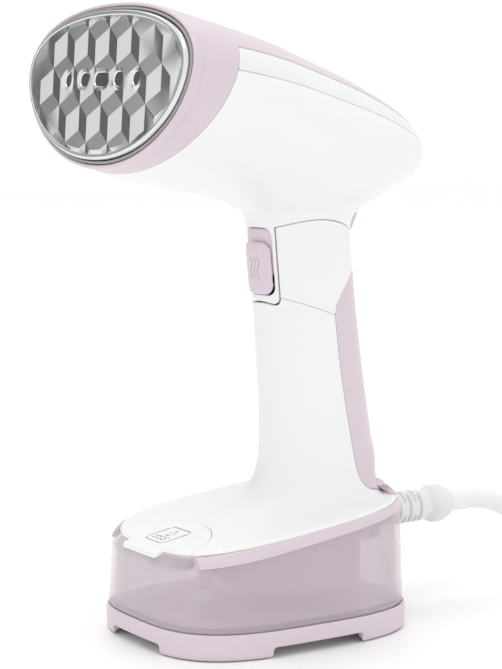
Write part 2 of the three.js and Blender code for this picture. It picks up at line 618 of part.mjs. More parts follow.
function makeBase() {
  const footOuter = solid(loft([baseRing(0.6, 0), baseRing(0, 1), baseRing(0, footHeight)]));
  const footInner = solid(loft([baseRing(footWall, -1), baseRing(footWall, footHeight + 1)]));
  const cuts = [block(-footCutFront / 2, footCutFront / 2, -90, 90, -1, footCut),
    block(-90, 90, -footCutSide / 2, footCutSide / 2, -1, footCut)];
  add('foot_ring', cut(footOuter, footInner, ...cuts), blush);
  const plateTop = footHeight - 1.2;
  add('base_plate', solid(loft([baseRing(footWall + gap, plateTop - 2),
      baseRing(footWall + gap, plateTop)])), softWhite);
  for (const [i, [x, y]] of [[-1, -1], [1, -1], [-1, 1], [1, 1]].entries()) {
    add(`rubber_foot_${i + 1}`, drumZ(4.5, 0, plateTop - 2 - gap, x * 28, y * 33, 16), rubber);
  }
  for (const [i, x] of [-1, 1].entries()) {
    add(`base_screw_${i + 1}`, join(drumZ(3, 4.4, plateTop - 2 - gap, x * 15, 0, 12)), steel);
  }

  // Tank around a well for the pump chassis, with a filler hole under the cap
  const bandTop = (y) => bandAt(y) - gap;
  const outer = solid(loft([baseRing(tankInset, footHeight + gap), baseRing(tankInset + 0.2, 26),
      baseRing(1.8, bandTop)]));
  const nose = cut(solid(loft([baseRing(2, (y) => bandTop(y) - 2),
      baseRing(rimInset + 0.3, (y) => rimAt(y) - gap, rimNoseInset + 0.3)])),
    block(-90, 90, bandStart - gap, 90, 0, 90),
    block(-capTabHalfWidth - 2, capTabHalfWidth + 2, -70, -baseFront + rimNoseInset + capTabRoot + gap,
        bandAt(-baseFront), 90));
  const room = solid(loft([baseRing(tankInset + tankWall, footHeight + gap + tankWall),
    baseRing(1.8 + tankWall, (y) => bandTop(y) - tankWall)]));
  const wellBottom = chassisBottom - gap;
  const wellWall = prismZ(wellOutline(gap + tankWall), wellBottom - tankWall, 90);
  const outlet = block(-snoutHalfWidth - gap, snoutHalfWidth + gap, wellY, 80, snoutBottom - gap, 90);
  const outletWall = block(-snoutHalfWidth - gap - tankWall, snoutHalfWidth + gap + tankWall, wellY, 80,
    snoutBottom - gap - tankWall, 90);
  const filler = drumZ(fillerRadius, 24, 70, 0, fillerY, 32);
  const suction = drumY(hoseRadius + gap, wellY - wellHalfLength - 6, wellY, 0, pumpZ - 4, 16);
  add('tank', cut(join(outer, nose), cut(room, wellWall, outletWall),
      prismZ(wellOutline(gap), wellBottom, 90),
    outlet, filler, suction), blushTank);
  add('filler_neck', cut(drumZ(fillerRadius - gap, bandAt(fillerY) - 7, bandAt(fillerY) + 0.9, 0, fillerY,
      32),
    drumZ(fillerRadius - 2.2, 10, 80, 0, fillerY, 32)), blush);
  const bandSolid = cut(solid(loft([baseRing(1.3, (y) => bandAt(y)),
      baseRing(1.7, (y) => (bandAt(y) + rimAt(y)) / 2),
    baseRing(rimInset, (y) => rimAt(y) - gap)])),
  solid(loft([baseRing(rimInset + 3, (y) => bandAt(y) - 2), baseRing(rimInset + 3, (y) => rimAt(y) + 2)])),
  block(-90, 90, -90, bandStart, 0, 90));
  add('rim_band', bandSolid, blush);

  // Chassis: the cup that hangs in the tank's well and holds the pump
  const cup = cut(prismZ(wellOutline(0), chassisBottom, chassisTop),
      prismZ(wellOutline(-1.6), chassisBottom + 1.6, 90));
  const snout = block(-snoutHalfWidth, snoutHalfWidth, wellY + wellHalfLength - 4, snoutEnd, snoutBottom,
      chassisTop);
  const snoutRoom = block(-snoutHalfWidth + 1.6, snoutHalfWidth - 1.6, wellY, 90, snoutBottom + 1.6, 90);
  add('chassis', cut(join(cup, cut(snout, prismZ(wellOutline(-1), 0, 90))), snoutRoom,
    drumY(hoseRadius + gap, wellY - wellHalfLength - 9, wellY, 0, pumpZ - 4, 16)), darkPlastic);
  add('chassis_lid', cut(prismZ(wellOutline(-4), chassisTop + gap, chassisTop + 2),
    block(-9, 9, 30, 90, 0, 90), block(-30, 30, -30, -2, 0, 90)), softWhite);
  add('terminal_block', block(-15, -4, 18, 28, chassisTop + 2 + gap, chassisTop + 9), softWhite);

  // Pump
  const rear = pumpY + pumpLength;
  add('pump_body', cut(drumY(pumpBore + 2.4, pumpY, rear, 0, pumpZ),
      drumY(pumpBore, pumpY + 5, rear + 1, 0, pumpZ)),
    softWhite);
  add('pump_coil', cut(drumY(pumpCoilRadius, pumpY + 8, pumpY + 28, 0, pumpZ),
    drumY(pumpBore + 2.4 + gap, 0 - 60, 90, 0, pumpZ)), copper);
  add('pump_plunger', drumY(pumpBore - gap, pumpY + 5 + pumpStroke + gap, pumpY + 24, 0, pumpZ), steel);
  for (const [i, at] of [pumpY + 1, rear - 6].entries()) {
    add(`pump_mount_${i + 1}`, cut(drumY(pumpBore + 5.4, at, at + 4, 0, pumpZ),
        drumY(pumpBore + 2.4 + gap, -60, 90, 0, pumpZ)),
      rubber);
  }
  add('suction_tube', tubeAlong([[0, pumpY - 2.6, pumpZ - 4], [0, wellY - wellHalfLength - 4, pumpZ - 4],
    [0, wellY - wellHalfLength - 9, pumpZ - 7], [0, wellY - wellHalfLength - 10, filterTop + gap + 0.25]],
    hoseRadius, 4, 10), silicone);
  add('inlet_filter', drumZ(4.6, filterBottom, filterTop, 0, wellY - wellHalfLength - 10, 20), softWhite);
}

function makeCap() {
  const surface = gripAndCover(0, 0, 100);
  const lowered = geometryOf(surface).translate(0, 0, -capThickness);
  const disc = common(surface, drumZ(capRadius, 20, 80, 0, capY, 64));
  const frontY = -baseFront + rimNoseInset;
  const slope = (coverZ(frontY + 9) - coverZ(frontY + 1)) / 8;
  const tabTop = coverZ(frontY + 1);
  const tab = sidePrism([[frontY + capTabRoot, tabTop + 3 * slope - 0.2],
      [frontY + capTabRoot, tabTop - 1.8], [frontY - capTabReach, tabTop - 3.2],
    [frontY - capTabReach, tabTop - 1.6], [frontY - 1, tabTop]], -capTabHalfWidth, capTabHalfWidth);
  const lid = cut(disc, lowered);
  add('filler_cap', join(lid, tab), white);
  const sealTop = coverZ(fillerY - 6) - capThickness - gap;
  add('cap_seal', drumZ(fillerRadius - 2.8, sealTop - 2.6, sealTop, 0, fillerY, 24), silicone);
}

// ---------------------------------------------------------------- cord
function lathedAlongY(profile) {
  const lathe = new THREE.LatheGeometry(profile.map(([r, y]) => new THREE.Vector2(r, y)), 24);
  return lathe.translate(0, 0, cordExitZ);
}

function makeCord() {
  const start = snoutEnd - 3;
  const skin = baseBack;
  add('strain_relief', lathedAlongY([[0, start], [5.6, start], [5.6, skin], [6.4, skin + 0.3],
      [6.2, skin + 24], [5.6, skin + 26],
    [7.4, skin + 29], [7.4, skin + 33], [5.4, cordStart - gap], [0, cordStart - gap]]), softWhite);
  add('cord_lead', tubeAlong(leadPoints, cordDiameter / 2, 4, 14), softWhite);
  const inner = coilRadii[0] - cordDiameter / 2;
  const outer = coilRadii.at(-1) + cordDiameter / 2;
  const ring = new THREE.LatheGeometry([[inner, 0], [outer, 0], [outer, 2 * cordDiameter],
      [inner, 2 * cordDiameter],
    [inner, 0]].map(([r, z]) => new THREE.Vector2(r, z)), 40).rotateX(Math.PI / 2);
  add('cord_coil', ring.translate(coilCentre[0], coilCentre[1], 0), softWhite);
  add('cord_tail', tubeAlong(tailPoints, cordDiameter / 2, 4, 6), softWhite);
  const [plugX, plugY] = tailPoints.at(-1);
  const body = new THREE.LatheGeometry([[0, -2 * gap], [5.5, -2 * gap], [7, -16], [plugRadius - 1, -22],
      [plugRadius, -24], [plugRadius, -44],
    [plugRadius - 1, -45], [0, -45]].map(([r, y]) => new THREE.Vector2(r, y)), 32);
  add('mains_plug', body.translate(plugX, plugY, plugRadius), softWhite);
  for (const [i, side] of [-1, 1].entries()) {
    add(`plug_pin_${i + 1}`, drumY(2.4, plugY - 45 - gap - 19, plugY - 45 - gap, plugX + side * 9.5,
        plugRadius, 16), steel);
  }
}

makeSteamPlate();
makeHeadCovers();
makeTrigger();
makeLatch();
makeHandle();
makeBase();
makeCap();
makeCord();

export default group;
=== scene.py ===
"""Garment steamer: smooth shells, finishes and the mains cord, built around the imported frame.

Lengths in the classes are millimetres in the object's working frame (X = 0 is the mirror plane, Z = 0 the floor,
the steam plate faces -Y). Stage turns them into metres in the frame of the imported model.
"""
import logging
import math
from dataclasses import dataclass, field
from enum import Enum
from typing import Any, Callable, Sequence

import bpy
import numpy as np
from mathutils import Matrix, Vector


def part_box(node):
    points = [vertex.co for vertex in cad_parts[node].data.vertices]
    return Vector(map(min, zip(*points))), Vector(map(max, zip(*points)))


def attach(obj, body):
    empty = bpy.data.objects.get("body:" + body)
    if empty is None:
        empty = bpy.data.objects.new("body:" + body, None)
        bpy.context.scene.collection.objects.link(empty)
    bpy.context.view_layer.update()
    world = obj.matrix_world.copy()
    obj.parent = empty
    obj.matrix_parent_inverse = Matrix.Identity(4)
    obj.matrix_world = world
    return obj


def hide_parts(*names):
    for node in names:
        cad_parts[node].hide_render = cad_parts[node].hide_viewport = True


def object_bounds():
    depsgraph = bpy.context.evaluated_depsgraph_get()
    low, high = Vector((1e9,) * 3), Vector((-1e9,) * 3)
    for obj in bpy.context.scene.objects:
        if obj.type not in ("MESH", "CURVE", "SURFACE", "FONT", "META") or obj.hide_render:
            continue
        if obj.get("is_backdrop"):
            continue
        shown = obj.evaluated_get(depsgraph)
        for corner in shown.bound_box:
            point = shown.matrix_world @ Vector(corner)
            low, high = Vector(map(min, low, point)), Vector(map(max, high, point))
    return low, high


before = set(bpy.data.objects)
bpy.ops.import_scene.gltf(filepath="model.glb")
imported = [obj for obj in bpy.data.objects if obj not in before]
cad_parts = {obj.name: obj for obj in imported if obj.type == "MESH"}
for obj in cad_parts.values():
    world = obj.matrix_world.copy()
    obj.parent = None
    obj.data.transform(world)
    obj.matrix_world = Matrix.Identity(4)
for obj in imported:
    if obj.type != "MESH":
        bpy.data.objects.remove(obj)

import openvdb
from mathutils import Vector
from mathutils.geometry import delaunay_2d_cdt

log = logging.getLogger("steamer")
Array = np.ndarray
MM = 0.001
SEAM = 0.16          # joint between covers that stay together
GAP = 0.22           # joint between pieces that move
EDGE = 0.25          # rounding of a cover's edge


# ---------------------------------------------------------------- surfaces
@dataclass
class Skin:
    """Triangles of a surface, with an outward normal at each point."""

    points: Array
    faces: Array
    normals: Array


def unit(vectors: Array) -> Array:
    """Vectors scaled to length one."""
    return vectors / np.maximum(np.linalg.norm(vectors, axis=-1, keepdims=True), 1e-12)


def point_normals(points: Array, faces: Array) -> Array:
    """Normals at the points of a triangle mesh, weighted by area.

    Args:
        points: Places of the points.
        faces: Triangles, three point numbers each.

    Returns:
        One unit normal for each point.
    """
    a, b, c = (points[faces[:, i]] for i in range(3))
    across = np.cross(b - a, c - a)
    total = np.zeros_like(points)
    for i in range(3):
        np.add.at(total, faces[:, i], across)
    return unit(total)


def skin_of(points: Array, faces: Array) -> Skin:
    """A skin with normals worked out from its triangles."""
    return Skin(points, faces, point_normals(points, faces))


def lofted(rings: Array, closed: bool = True) -> Skin:
    """A surface through a stack of rings.

    Args:
        rings: Array of ring, point and coordinate.
        closed: Whether the last point of a ring joins its first.

    Returns:
        The surface, facing away from the middles of its rings.
    """
    count, size = rings.shape[:2]
    i = np.arange(size if closed else size - 1)
    j = (i + 1) % size
    strips = []
    for k in range(count - 1):
        a, b = k * size, (k + 1) * size
        strips.append(np.stack([a + i, a + j, b + j], 1))
        strips.append(np.stack([a + i, b + j, b + i], 1))
    skin = skin_of(rings.reshape(-1, 3), np.concatenate(strips))
    outward = np.repeat(rings.mean(1), size, 0)
    return skin if np.sum((skin.points - outward) * skin.normals) > 0 else flipped(skin)


def flipped(skin: Skin) -> Skin:
    """The same surface, facing the other way."""
    return Skin(skin.points, skin.faces[:, ::-1], -skin.normals)


def joined(*skins: Skin) -> Skin:
    """Several surfaces as one mesh."""
    starts = np.cumsum([0] + [len(s.points) for s in skins[:-1]])
    return Skin(np.concatenate([s.points for s in skins]),
                np.concatenate([s.faces + start for s, start in zip(skins, starts)]),
                np.concatenate([s.normals for s in skins]))


def clipped(skin: Skin, *insides: Callable[[Array], Array], snap: float = 0.2) -> Skin:
    """Keeps the part of a surface where some distances are positive, one after the other.

    Args:
        skin: The surface.
        insides: Distances inside the wanted region, for an array of points.
        snap: Points nearer to the edge than this move onto it, which avoids thin triangles.

    Returns:
        The kept part, with its edge on the lines where a distance is zero.
    """
    for inside in insides[:-1]:
        skin = clipped(skin, inside, snap=snap)
    inside = insides[-1]
    points, normals = skin.points.copy(), skin.normals
    value = inside(points)
    near = np.flatnonzero(np.abs(value) < snap)
    if len(near):
        step = 0.02
        slope = np.stack([inside(points[near] + step * axis) - inside(points[near] - step * axis)
                          for axis in np.eye(3)], 1) / (2 * step)
        slope -= np.sum(slope * normals[near], 1, keepdims=True) * normals[near]
        size = np.maximum(np.sum(slope ** 2, 1), 0.04)
        points[near] -= (value[near] / size)[:, None] * slope
        value[near] = 0
    sign = np.sign(value)[skin.faces]
    whole = skin.faces[(sign >= 0).all(1) & (sign > 0).any(1)]
    mixed = skin.faces[(sign > 0).any(1) & (sign < 0).any(1)]
    made: dict[tuple[int, int], int] = {}
    ends: list[tuple[int, int]] = []
    extra: list[tuple[int, int, int]] = []

    def crossing(i: int, j: int) -> int:
        """Number of the new point between a kept and a dropped point."""
        key = (min(i, j), max(i, j))
        if key not in made:
            made[key] = len(points) + len(ends)
            ends.append(key)
        return made[key]

    for face in mixed.tolist():
        ring = []
        for i, j in zip(face, face[1:] + face[:1]):
            if value[i] >= 0:
                ring.append(i)
            if value[i] * value[j] < 0:
                ring.append(crossing(i, j))
        extra.extend((ring[0], ring[k], ring[k + 1]) for k in range(1, len(ring) - 1))
    if ends:
        i, j = np.array(ends).T
        share = (value[i] / (value[i] - value[j]))[:, None]
        points = np.concatenate([points, points[i] * (1 - share) + points[j] * share])
        normals = np.concatenate([normals, unit(normals[i] * (1 - share) + normals[j] * share)])
    faces = np.concatenate([whole, np.array(extra, int).reshape(-1, 3)])
    used = np.unique(faces)
    number = np.zeros(len(points), int)
    number[used] = np.arange(len(used))
    return Skin(points[used], number[faces], normals[used])


def boundary(faces: Array) -> Array:
    """Directed edges that belong to one triangle only."""
    edges = np.concatenate([faces[:, [0, 1]], faces[:, [1, 2]], faces[:, [2, 0]]])
    low, high = np.sort(edges, 1).T
    key = low * (faces.max() + 1) + high
    _, first, count = np.unique(key, return_index=True, return_counts=True)
    return edges[first[count == 1]]


def shell(skin: Skin, wall: Array | float, rounding: float = EDGE, steps: int = 3) -> Skin:
    """Gives a clipped surface a wall, with its edges rounded over.

    Args:
        skin: Outer surface, clipped short of its true edge by the rounding.
        wall: Thickness of the wall, or one for each point.
        rounding: Radius of the rounded edge.
        steps: Rings across the rounding.

    Returns:
        A closed shell.
    """
    edges = boundary(skin.faces)
    normals = skin.normals
    depth = np.broadcast_to(np.reshape(wall, (-1, 1)), (len(skin.points), 1))
    out = np.zeros_like(skin.points)
    across = unit(np.cross(skin.points[edges[:, 1]] - skin.points[edges[:, 0]], normals[edges[:, 0]]))
    for side in (0, 1):
        np.add.at(out, edges[:, side], across)
    rim = np.unique(edges)
    out = out[rim]
    out -= np.sum(out * normals[rim], 1, keepdims=True) * normals[rim]
    out = unit(out)
    number = np.zeros(len(skin.points), int)
    number[rim] = np.arange(len(rim))
    base, down = skin.points[rim], normals[rim]
    turns = [math.pi / 2 * k / steps for k in range(1, steps + 1)]
    rings = [base + rounding * (math.sin(t) * out - (1 - math.cos(t)) * down) for t in turns]
    rings.append(base + rounding * out - np.maximum(depth[rim], rounding) * down)
    count, size = len(skin.points), len(rim)
    i, j = number[edges].T
    faces = [skin.faces]
    last = edges.T
    for k in range(len(rings)):
        here = np.stack([count + k * size + i, count + k * size + j])
        faces.append(np.stack([last[1], last[0], here[0]], 1))
        faces.append(np.stack([last[1], here[0], here[1]], 1))
        last = here
    inner = count + len(rings) * size
    faces.append(np.stack([last[1], last[0], inner + edges[:, 0]], 1))
    faces.append(np.stack([last[1], inner + edges[:, 0], inner + edges[:, 1]], 1))
    faces.append(inner + skin.faces[:, ::-1])
    points = np.concatenate([skin.points, *rings, skin.points - depth * normals])
    return skin_of(points, np.concatenate(faces))


def meshed(inside: Callable[[Array], Array], low: Array, high: Array, step: float) -> Skin:
    """Meshes the surface where a signed distance is zero, and sets its points exactly on it.

    Args:
        inside: Signed distance, negative inside, for an array of points.
        low: Lowest corner of the meshed box.
        high: Highest corner of the meshed box.
        step: Spacing of the samples.

    Returns:
        The surface, with its normals from the slope of the distance.
    """
    counts = np.ceil((high - low) / step).astype(int) + 1
    values = np.empty(counts, np.float32)
    y, z = np.meshgrid(low[1] + step * np.arange(counts[1]), low[2] + step * np.arange(counts[2]),
                       indexing="ij")
    for i in range(counts[0]):
        spot = np.stack([np.full(y.size, low[0] + step * i), y.ravel(), z.ravel()], 1)
        values[i] = inside(spot).reshape(y.shape)
    grid = openvdb.FloatGrid(3.0)
    grid.copyFromArray(values)
    places, triangles, quads = grid.convertToPolygons(isovalue=0.0, adaptivity=0.0)
    quads = quads.astype(int)
    faces = np.concatenate([triangles.astype(int), quads[:, [0, 1, 2]], quads[:, [0, 2, 3]]])
    points = low + step * places.astype(float)

    def slope(at: Array) -> Array:
        """Slope of the distance at some points."""
        return np.stack([inside(at + 0.05 * axis) - inside(at - 0.05 * axis) for axis in np.eye(3)], 1) / 0.1

    edges = np.concatenate([faces[:, [0, 1]], faces[:, [1, 2]], faces[:, [2, 0]]])
    degree = np.maximum(np.bincount(edges[:, 0], minlength=len(points)), 1)[:, None]
    inner = np.all((points > low + 2 * step) & (points < high - 2 * step), 1)
    for turn in range(5):
        grade = slope(points)
        size = np.maximum(np.sum(grade ** 2, 1), 0.05)
        shift = np.clip(inside(points) / size, -0.5, 0.5)[:, None] * grade
        points = np.where(inner[:, None], points - shift, points)
        if turn < 3:
            total = np.zeros_like(points)
            np.add.at(total, edges[:, 0], points[edges[:, 1]])
            drift = total / degree - points
            drift -= np.sum(drift * unit(grade), 1, keepdims=True) * unit(grade)
            points = np.where(inner[:, None], points + 0.5 * drift, points)
    normals = unit(slope(points))
    across = point_normals(points, faces)
    if np.sum(across * normals) < 0:
        faces = faces[:, ::-1]
    return Skin(points, faces, normals)


def smooth_rows(rows: Array, places: Array) -> Array:
    """Catmull-Rom values between the rows of a table.

    Args:
        rows: Table of numbers, one row for each knot.
        places: Knot numbers to read at, with fractions.

    Returns:
        One interpolated row for each place.
    """
    last = len(rows) - 1
    i = np.clip(np.floor(places).astype(int), 0, last - 1)
    f = (places - i)[..., None]
    p, q, r, s = (rows[np.clip(i + k, 0, last)] for k in (-1, 0, 1, 2))
    return 0.5 * (2 * q + (r - p) * f + (2 * p - 5 * q + 4 * r - s) * f ** 2 + (3 * q - p - 3 * r + s) *
                  f ** 3)


def power(value: Array, exponent: float) -> Array:
    """Signed power, the building block of a superellipse."""
    return np.sign(value) * np.abs(value) ** exponent


def turns(count: int) -> Array:
    """Angles once round."""
    return np.arange(count) * 2 * math.pi / count


def smooth_line(knots: Sequence[Sequence[float]], per: int = 8) -> Array:
    """A smooth line through knots, as many short stretches."""
    rows = np.array(knots, float)
    return smooth_rows(rows, np.linspace(0, len(rows) - 1, per * (len(rows) - 1) + 1))


def side_distance(line: Array, points: Array) -> Array:
    """Signed distance to a line drawn in the side view.

    Args:
        line: Points (y, z) of the line, which reaches past the surface at both ends.
        points: Places in space; X is ignored.

    Returns:
        Distance, positive to the left of the line's direction.
    """
    at = points[:, 1:]
    best = np.full(len(at), np.inf)
    result = np.zeros(len(at))
    for a, b in zip(line[:-1], line[1:]):
        run = b - a
        share = np.clip((at - a) @ run / (run @ run), 0, 1)
        away = at - a - share[:, None] * run
        cross = (run[0] * (at[:, 1] - a[1]) - run[1] * (at[:, 0] - a[0])) / np.hypot(*run)
        # Beyond a corner both stretches are equally near, and the one more nearly abreast gives the side
        size = np.hypot(*away.T) - 1e-6 * np.abs(cross)
        closer = size < best
        best = np.where(closer, size, best)
        result = np.where(closer, size * np.where(cross >= 0, 1, -1), result)
    return result


def smooth_min(a: Array, b: Array, blend: float) -> Array:
    """The smaller of two distances, blended where they are nearly equal."""
    share = np.clip(0.5 + 0.5 * (b - a) / blend, 0, 1)
    return b * (1 - share) + a * share - blend * share * (1 - share)


def rounded_box(x: Array, z: Array, half_x: float, half_z: float, radius: float) -> Array:
    """Signed distance to a flat box with round corners, positive inside."""
    dx, dz = np.abs(x) - half_x + radius, np.abs(z) - half_z + radius
    return radius - np.hypot(np.maximum(dx, 0), np.maximum(dz, 0)) - np.minimum(np.maximum(dx, dz), 0)


# ---------------------------------------------------------------- forms shared by several pieces
@dataclass
class HeadForm:
    """Outer form of the steam head: oval sections that fan from the plate back to the tail."""

    plate_half_width: float = 55.1
    plate_half_height: float = 26.2
    plate_egg: float = 0.175
    roundness: float = 2.15
    plate_y: float = -62.2
    plate_z: float = 201.0
    plate_tilt: float = 8.4
    lip_reach: float = 2.7
    lip_depth: float = 4.6
    # Sections: top y, top z, bottom y, bottom z, half width
    sections: tuple[tuple[float, ...], ...] = (
        (-40, 225.9, -52, 167.6, 57.4), (-23, 222.1, -38, 165, 54), (-7, 218.3, -23, 162.4, 48),
        (7, 214.2, -8, 160, 41.2), (23, 209.2, 8, 158, 34.3), (37.5, 203.9, 25, 157, 28.2),
        (50.5, 198.3, 42, 158, 22.4), (61.5, 192.7, 56, 162, 16.6), (68.4, 187.8, 65.5, 166, 11.7),
        (73.8, 181.6, 72.8, 169.6, 6))
    tail_tip: tuple[float, float] = (75.9, 175.8)
    egg_fade: int = 4
    edge_y: float = -58.0
    edge_z: float = 172.0
    edge_lean: float = 22.5
    trim_upper: tuple[tuple[float, float], ...] = (
        (-60, 215), (-34, 212.6), (0, 207.4), (30, 200.8), (50, 194.2), (65, 187.6), (90, 176))
    trim_lower: tuple[tuple[float, float], ...] = (
        (-60, 207.4), (-34, 204.4), (0, 199.4), (30, 193.4), (50, 188.2), (65, 183.2), (90, 174))
    # Lip round the plate: growth beyond the plate's edge and depth, from inside outwards
    lip: tuple[tuple[float, float], ...] = (
        (1.45, -3.0), (1.45, -0.8), (1.6, -0.1), (2.0, 0.25), (2.5, 0.1), (2.9, -0.5), (3.05, -1.4),
        (2.95, -2.4), (2.6, -3.2), (2.35, -3.7))

    def __post_init__(self) -> None:
        """Works out the table of sections and the lookup of sections in the side view."""
        tilt = math.radians(self.plate_tilt)
        self.up = np.array([0, math.sin(tilt), math.cos(tilt)])
        self.ahead = np.array([0, -math.cos(tilt), math.sin(tilt)])
        self.middle = np.array([0, self.plate_y, self.plate_z])
        first = self.middle - self.lip_depth * self.ahead
        rows = [[first[1], first[2], tilt, (self.plate_half_height + self.lip_reach) ** 2,
                 (self.plate_half_width + self.lip_reach) ** 2, self.plate_egg]]
        for i, (ty, tz, by, bz, half) in enumerate(self.sections):
            lean = math.atan2(ty - by, tz - bz)
            rows.append([(ty + by) / 2, (tz + bz) / 2, lean, ((ty - by) ** 2 + (tz - bz) ** 2) / 4, half ** 2,
                         self.plate_egg * max(0, 1 - i / self.egg_fade)])
        rows.append([*self.tail_tip, rows[-1][2], 0, 0, 0])
        self.table = np.array(rows, float)
        self.end = len(rows) - 1
        self.knots = np.linspace(0, self.end, 2401)
        self.dense = smooth_rows(self.table, self.knots)
        self.grid_y = np.arange(-80, 92, 0.75)
        self.grid_z = np.arange(110, 245, 0.75)
        y, z = np.meshgrid(self.grid_y, self.grid_z, indexing="ij")
        coarse = self.knots[::12]
        side = np.stack([self._ahead_of(np.full(y.shape, t), y, z) for t in coarse])
        hit = np.clip((side > 0).sum(0), 1, len(coarse) - 1)
        before, after = (np.take_along_axis(side, (hit - k)[None], 0)[0] for k in (1, 0))
        share = np.clip(before / np.where(before - after == 0, 1, before - after), 0, 1)
        self.found = coarse[hit - 1] + share * (coarse[1] - coarse[0])

    def _rows(self, places: Array) -> list[Array]:
        """Columns of the section table at some places along the head."""
        return [np.interp(places, self.knots, column) for column in self.dense.T]

    def _ahead_of(self, places: Array, y: Array, z: Array) -> Array:
        """How far points lie behind a section, seen from the side."""
        my, mz, lean = self._rows(places)[:3]
        return (y - my) * np.cos(lean) - (z - mz) * np.sin(lean)

    def locate(self, y: Array, z: Array) -> Array:
        """Place along the head of the section that holds a point of the side view."""
        fy = np.clip((y - self.grid_y[0]) / 0.75, 0, len(self.grid_y) - 1.001)
        fz = np.clip((z - self.grid_z[0]) / 0.75, 0, len(self.grid_z) - 1.001)
        i, j = fy.astype(int), fz.astype(int)
        u, v = fy - i, fz - j
        t = ((1 - u) * ((1 - v) * self.found[i, j] + v * self.found[i, j + 1])
             + u * ((1 - v) * self.found[i + 1, j] + v * self.found[i + 1, j + 1]))
        for _ in range(2):
            slope = (self._ahead_of(t + 0.01, y, z) - self._ahead_of(t - 0.01, y, z)) / 0.02
            t = np.clip(t - self._ahead_of(t, y, z) / np.minimum(slope, -1), 0, self.end)
        return t

    def distance(self, points: Array) -> Array:
        """Signed distance to the head, negative inside, nearly true close to its surface."""
        x, y, z = points.T
        t = self.locate(y, z)
        my, mz, lean, high, wide, egg = self._rows(t)
        high, wide = np.sqrt(np.maximum(high, 0.01)), np.sqrt(np.maximum(wide, 0.01))
        s = ((y - my) * np.sin(lean) + (z - mz) * np.cos(lean)) / high
        across = np.abs(x) / (wide * np.maximum(1 + egg * np.clip(s, -2, 2), 0.3))
        q = (across ** self.roundness + np.abs(s) ** self.roundness) ** (1 / self.roundness)
        beyond = np.maximum(self._ahead_of(t, y, z), 0) * (t >= self.end - 1e-6)
        return np.minimum(high, wide) * (q - 1) + beyond

    def ring(self, place: float, angles: Array) -> Array:
        """Points round one section."""
        my, mz, lean, high, wide, egg = (float(c) for c in self._rows(np.array(place)))
        s = power(np.sin(angles), 2 / self.roundness)
        c = power(np.cos(angles), 2 / self.roundness)
        reach = math.sqrt(max(high, 0)) * s
        return np.stack([math.sqrt(max(wide, 0)) * c * (1 + egg * s), my + reach * math.sin(lean),
                         mz + reach * math.cos(lean)], 1)

    def egg(self, grow: float, angles: Array) -> Array:
        """Outline of the plate, grown by a distance, in the plate's own plane."""
        v = (self.plate_half_height + grow) * power(np.sin(angles), 2 / self.roundness)
        u = (self.plate_half_width + grow) * power(np.cos(angles), 2 / self.roundness)
        return np.stack([u * (1 + self.plate_egg * v / (self.plate_half_height + grow)), v], 1)

    def on_plate(self, flat: Array, depth: Array | float) -> Array:
        """Puts points of the plate's plane into space."""
        across = np.stack([flat[:, 0], np.zeros(len(flat)), np.zeros(len(flat))], 1)
        return self.middle + across + flat[:, 1:2] * self.up + np.reshape(depth, (-1, 1)) * self.ahead

    def surface(self, count: int = 240) -> Skin:
        """The whole outer surface of the head, with the lip round the plate."""
        angles = even_turns(self.plate_half_width, self.plate_half_height, self.roundness, count)
        lip = smooth_line(self.lip, 3)
        rings = [self.on_plate(self.egg(grow, angles), depth) for grow, depth in lip]
        last = self.end - 1
        rings += [self.ring(t, angles) for t in np.linspace(0.05, last, 18 * last)]
        rings += [self.ring(last + math.sin(a) ** 2, angles) for a in np.linspace(0, math.pi / 2, 16)[1:]]
        return lofted(np.array(rings))

    def ahead_of_edge(self, p: Array) -> Array:
        """Distance in front of the cowl's rear edge."""
        lean = math.radians(self.edge_lean)
        return (self.edge_y + (p[:, 2] - self.edge_z) * math.tan(lean) - p[:, 1]) * math.cos(lean)

    def above(self, line: Sequence[Sequence[float]], p: Array) -> Array:
        """Distance above one of the trim's edges."""
        y, z = smooth_line(line).T
        slope = np.interp(p[:, 1], y, np.gradient(z, y))
        return (p[:, 2] - np.interp(p[:, 1], y, z)) / np.hypot(1, slope)


def even_turns(half_x: float, half_y: float, roundness: float, count: int) -> Array:
    """Angles that space a superellipse's points evenly along its outline."""
    dense = np.linspace(0, math.pi / 2, 6001)
    x = half_x * power(np.cos(dense), 2 / roundness)
    y = half_y * power(np.sin(dense), 2 / roundness)
    run = np.concatenate([[0], np.cumsum(np.hypot(np.diff(x), np.diff(y)))])
    quarter = np.interp(np.arange(count // 4) * run[-1] * 4 / count, run, dense)
    return np.concatenate([quarter + k * math.pi / 2 if k % 2 == 0 else
                           (k + 1) * math.pi / 2 - np.append(quarter, math.pi / 2)[:0:-1] for k in range(4)])


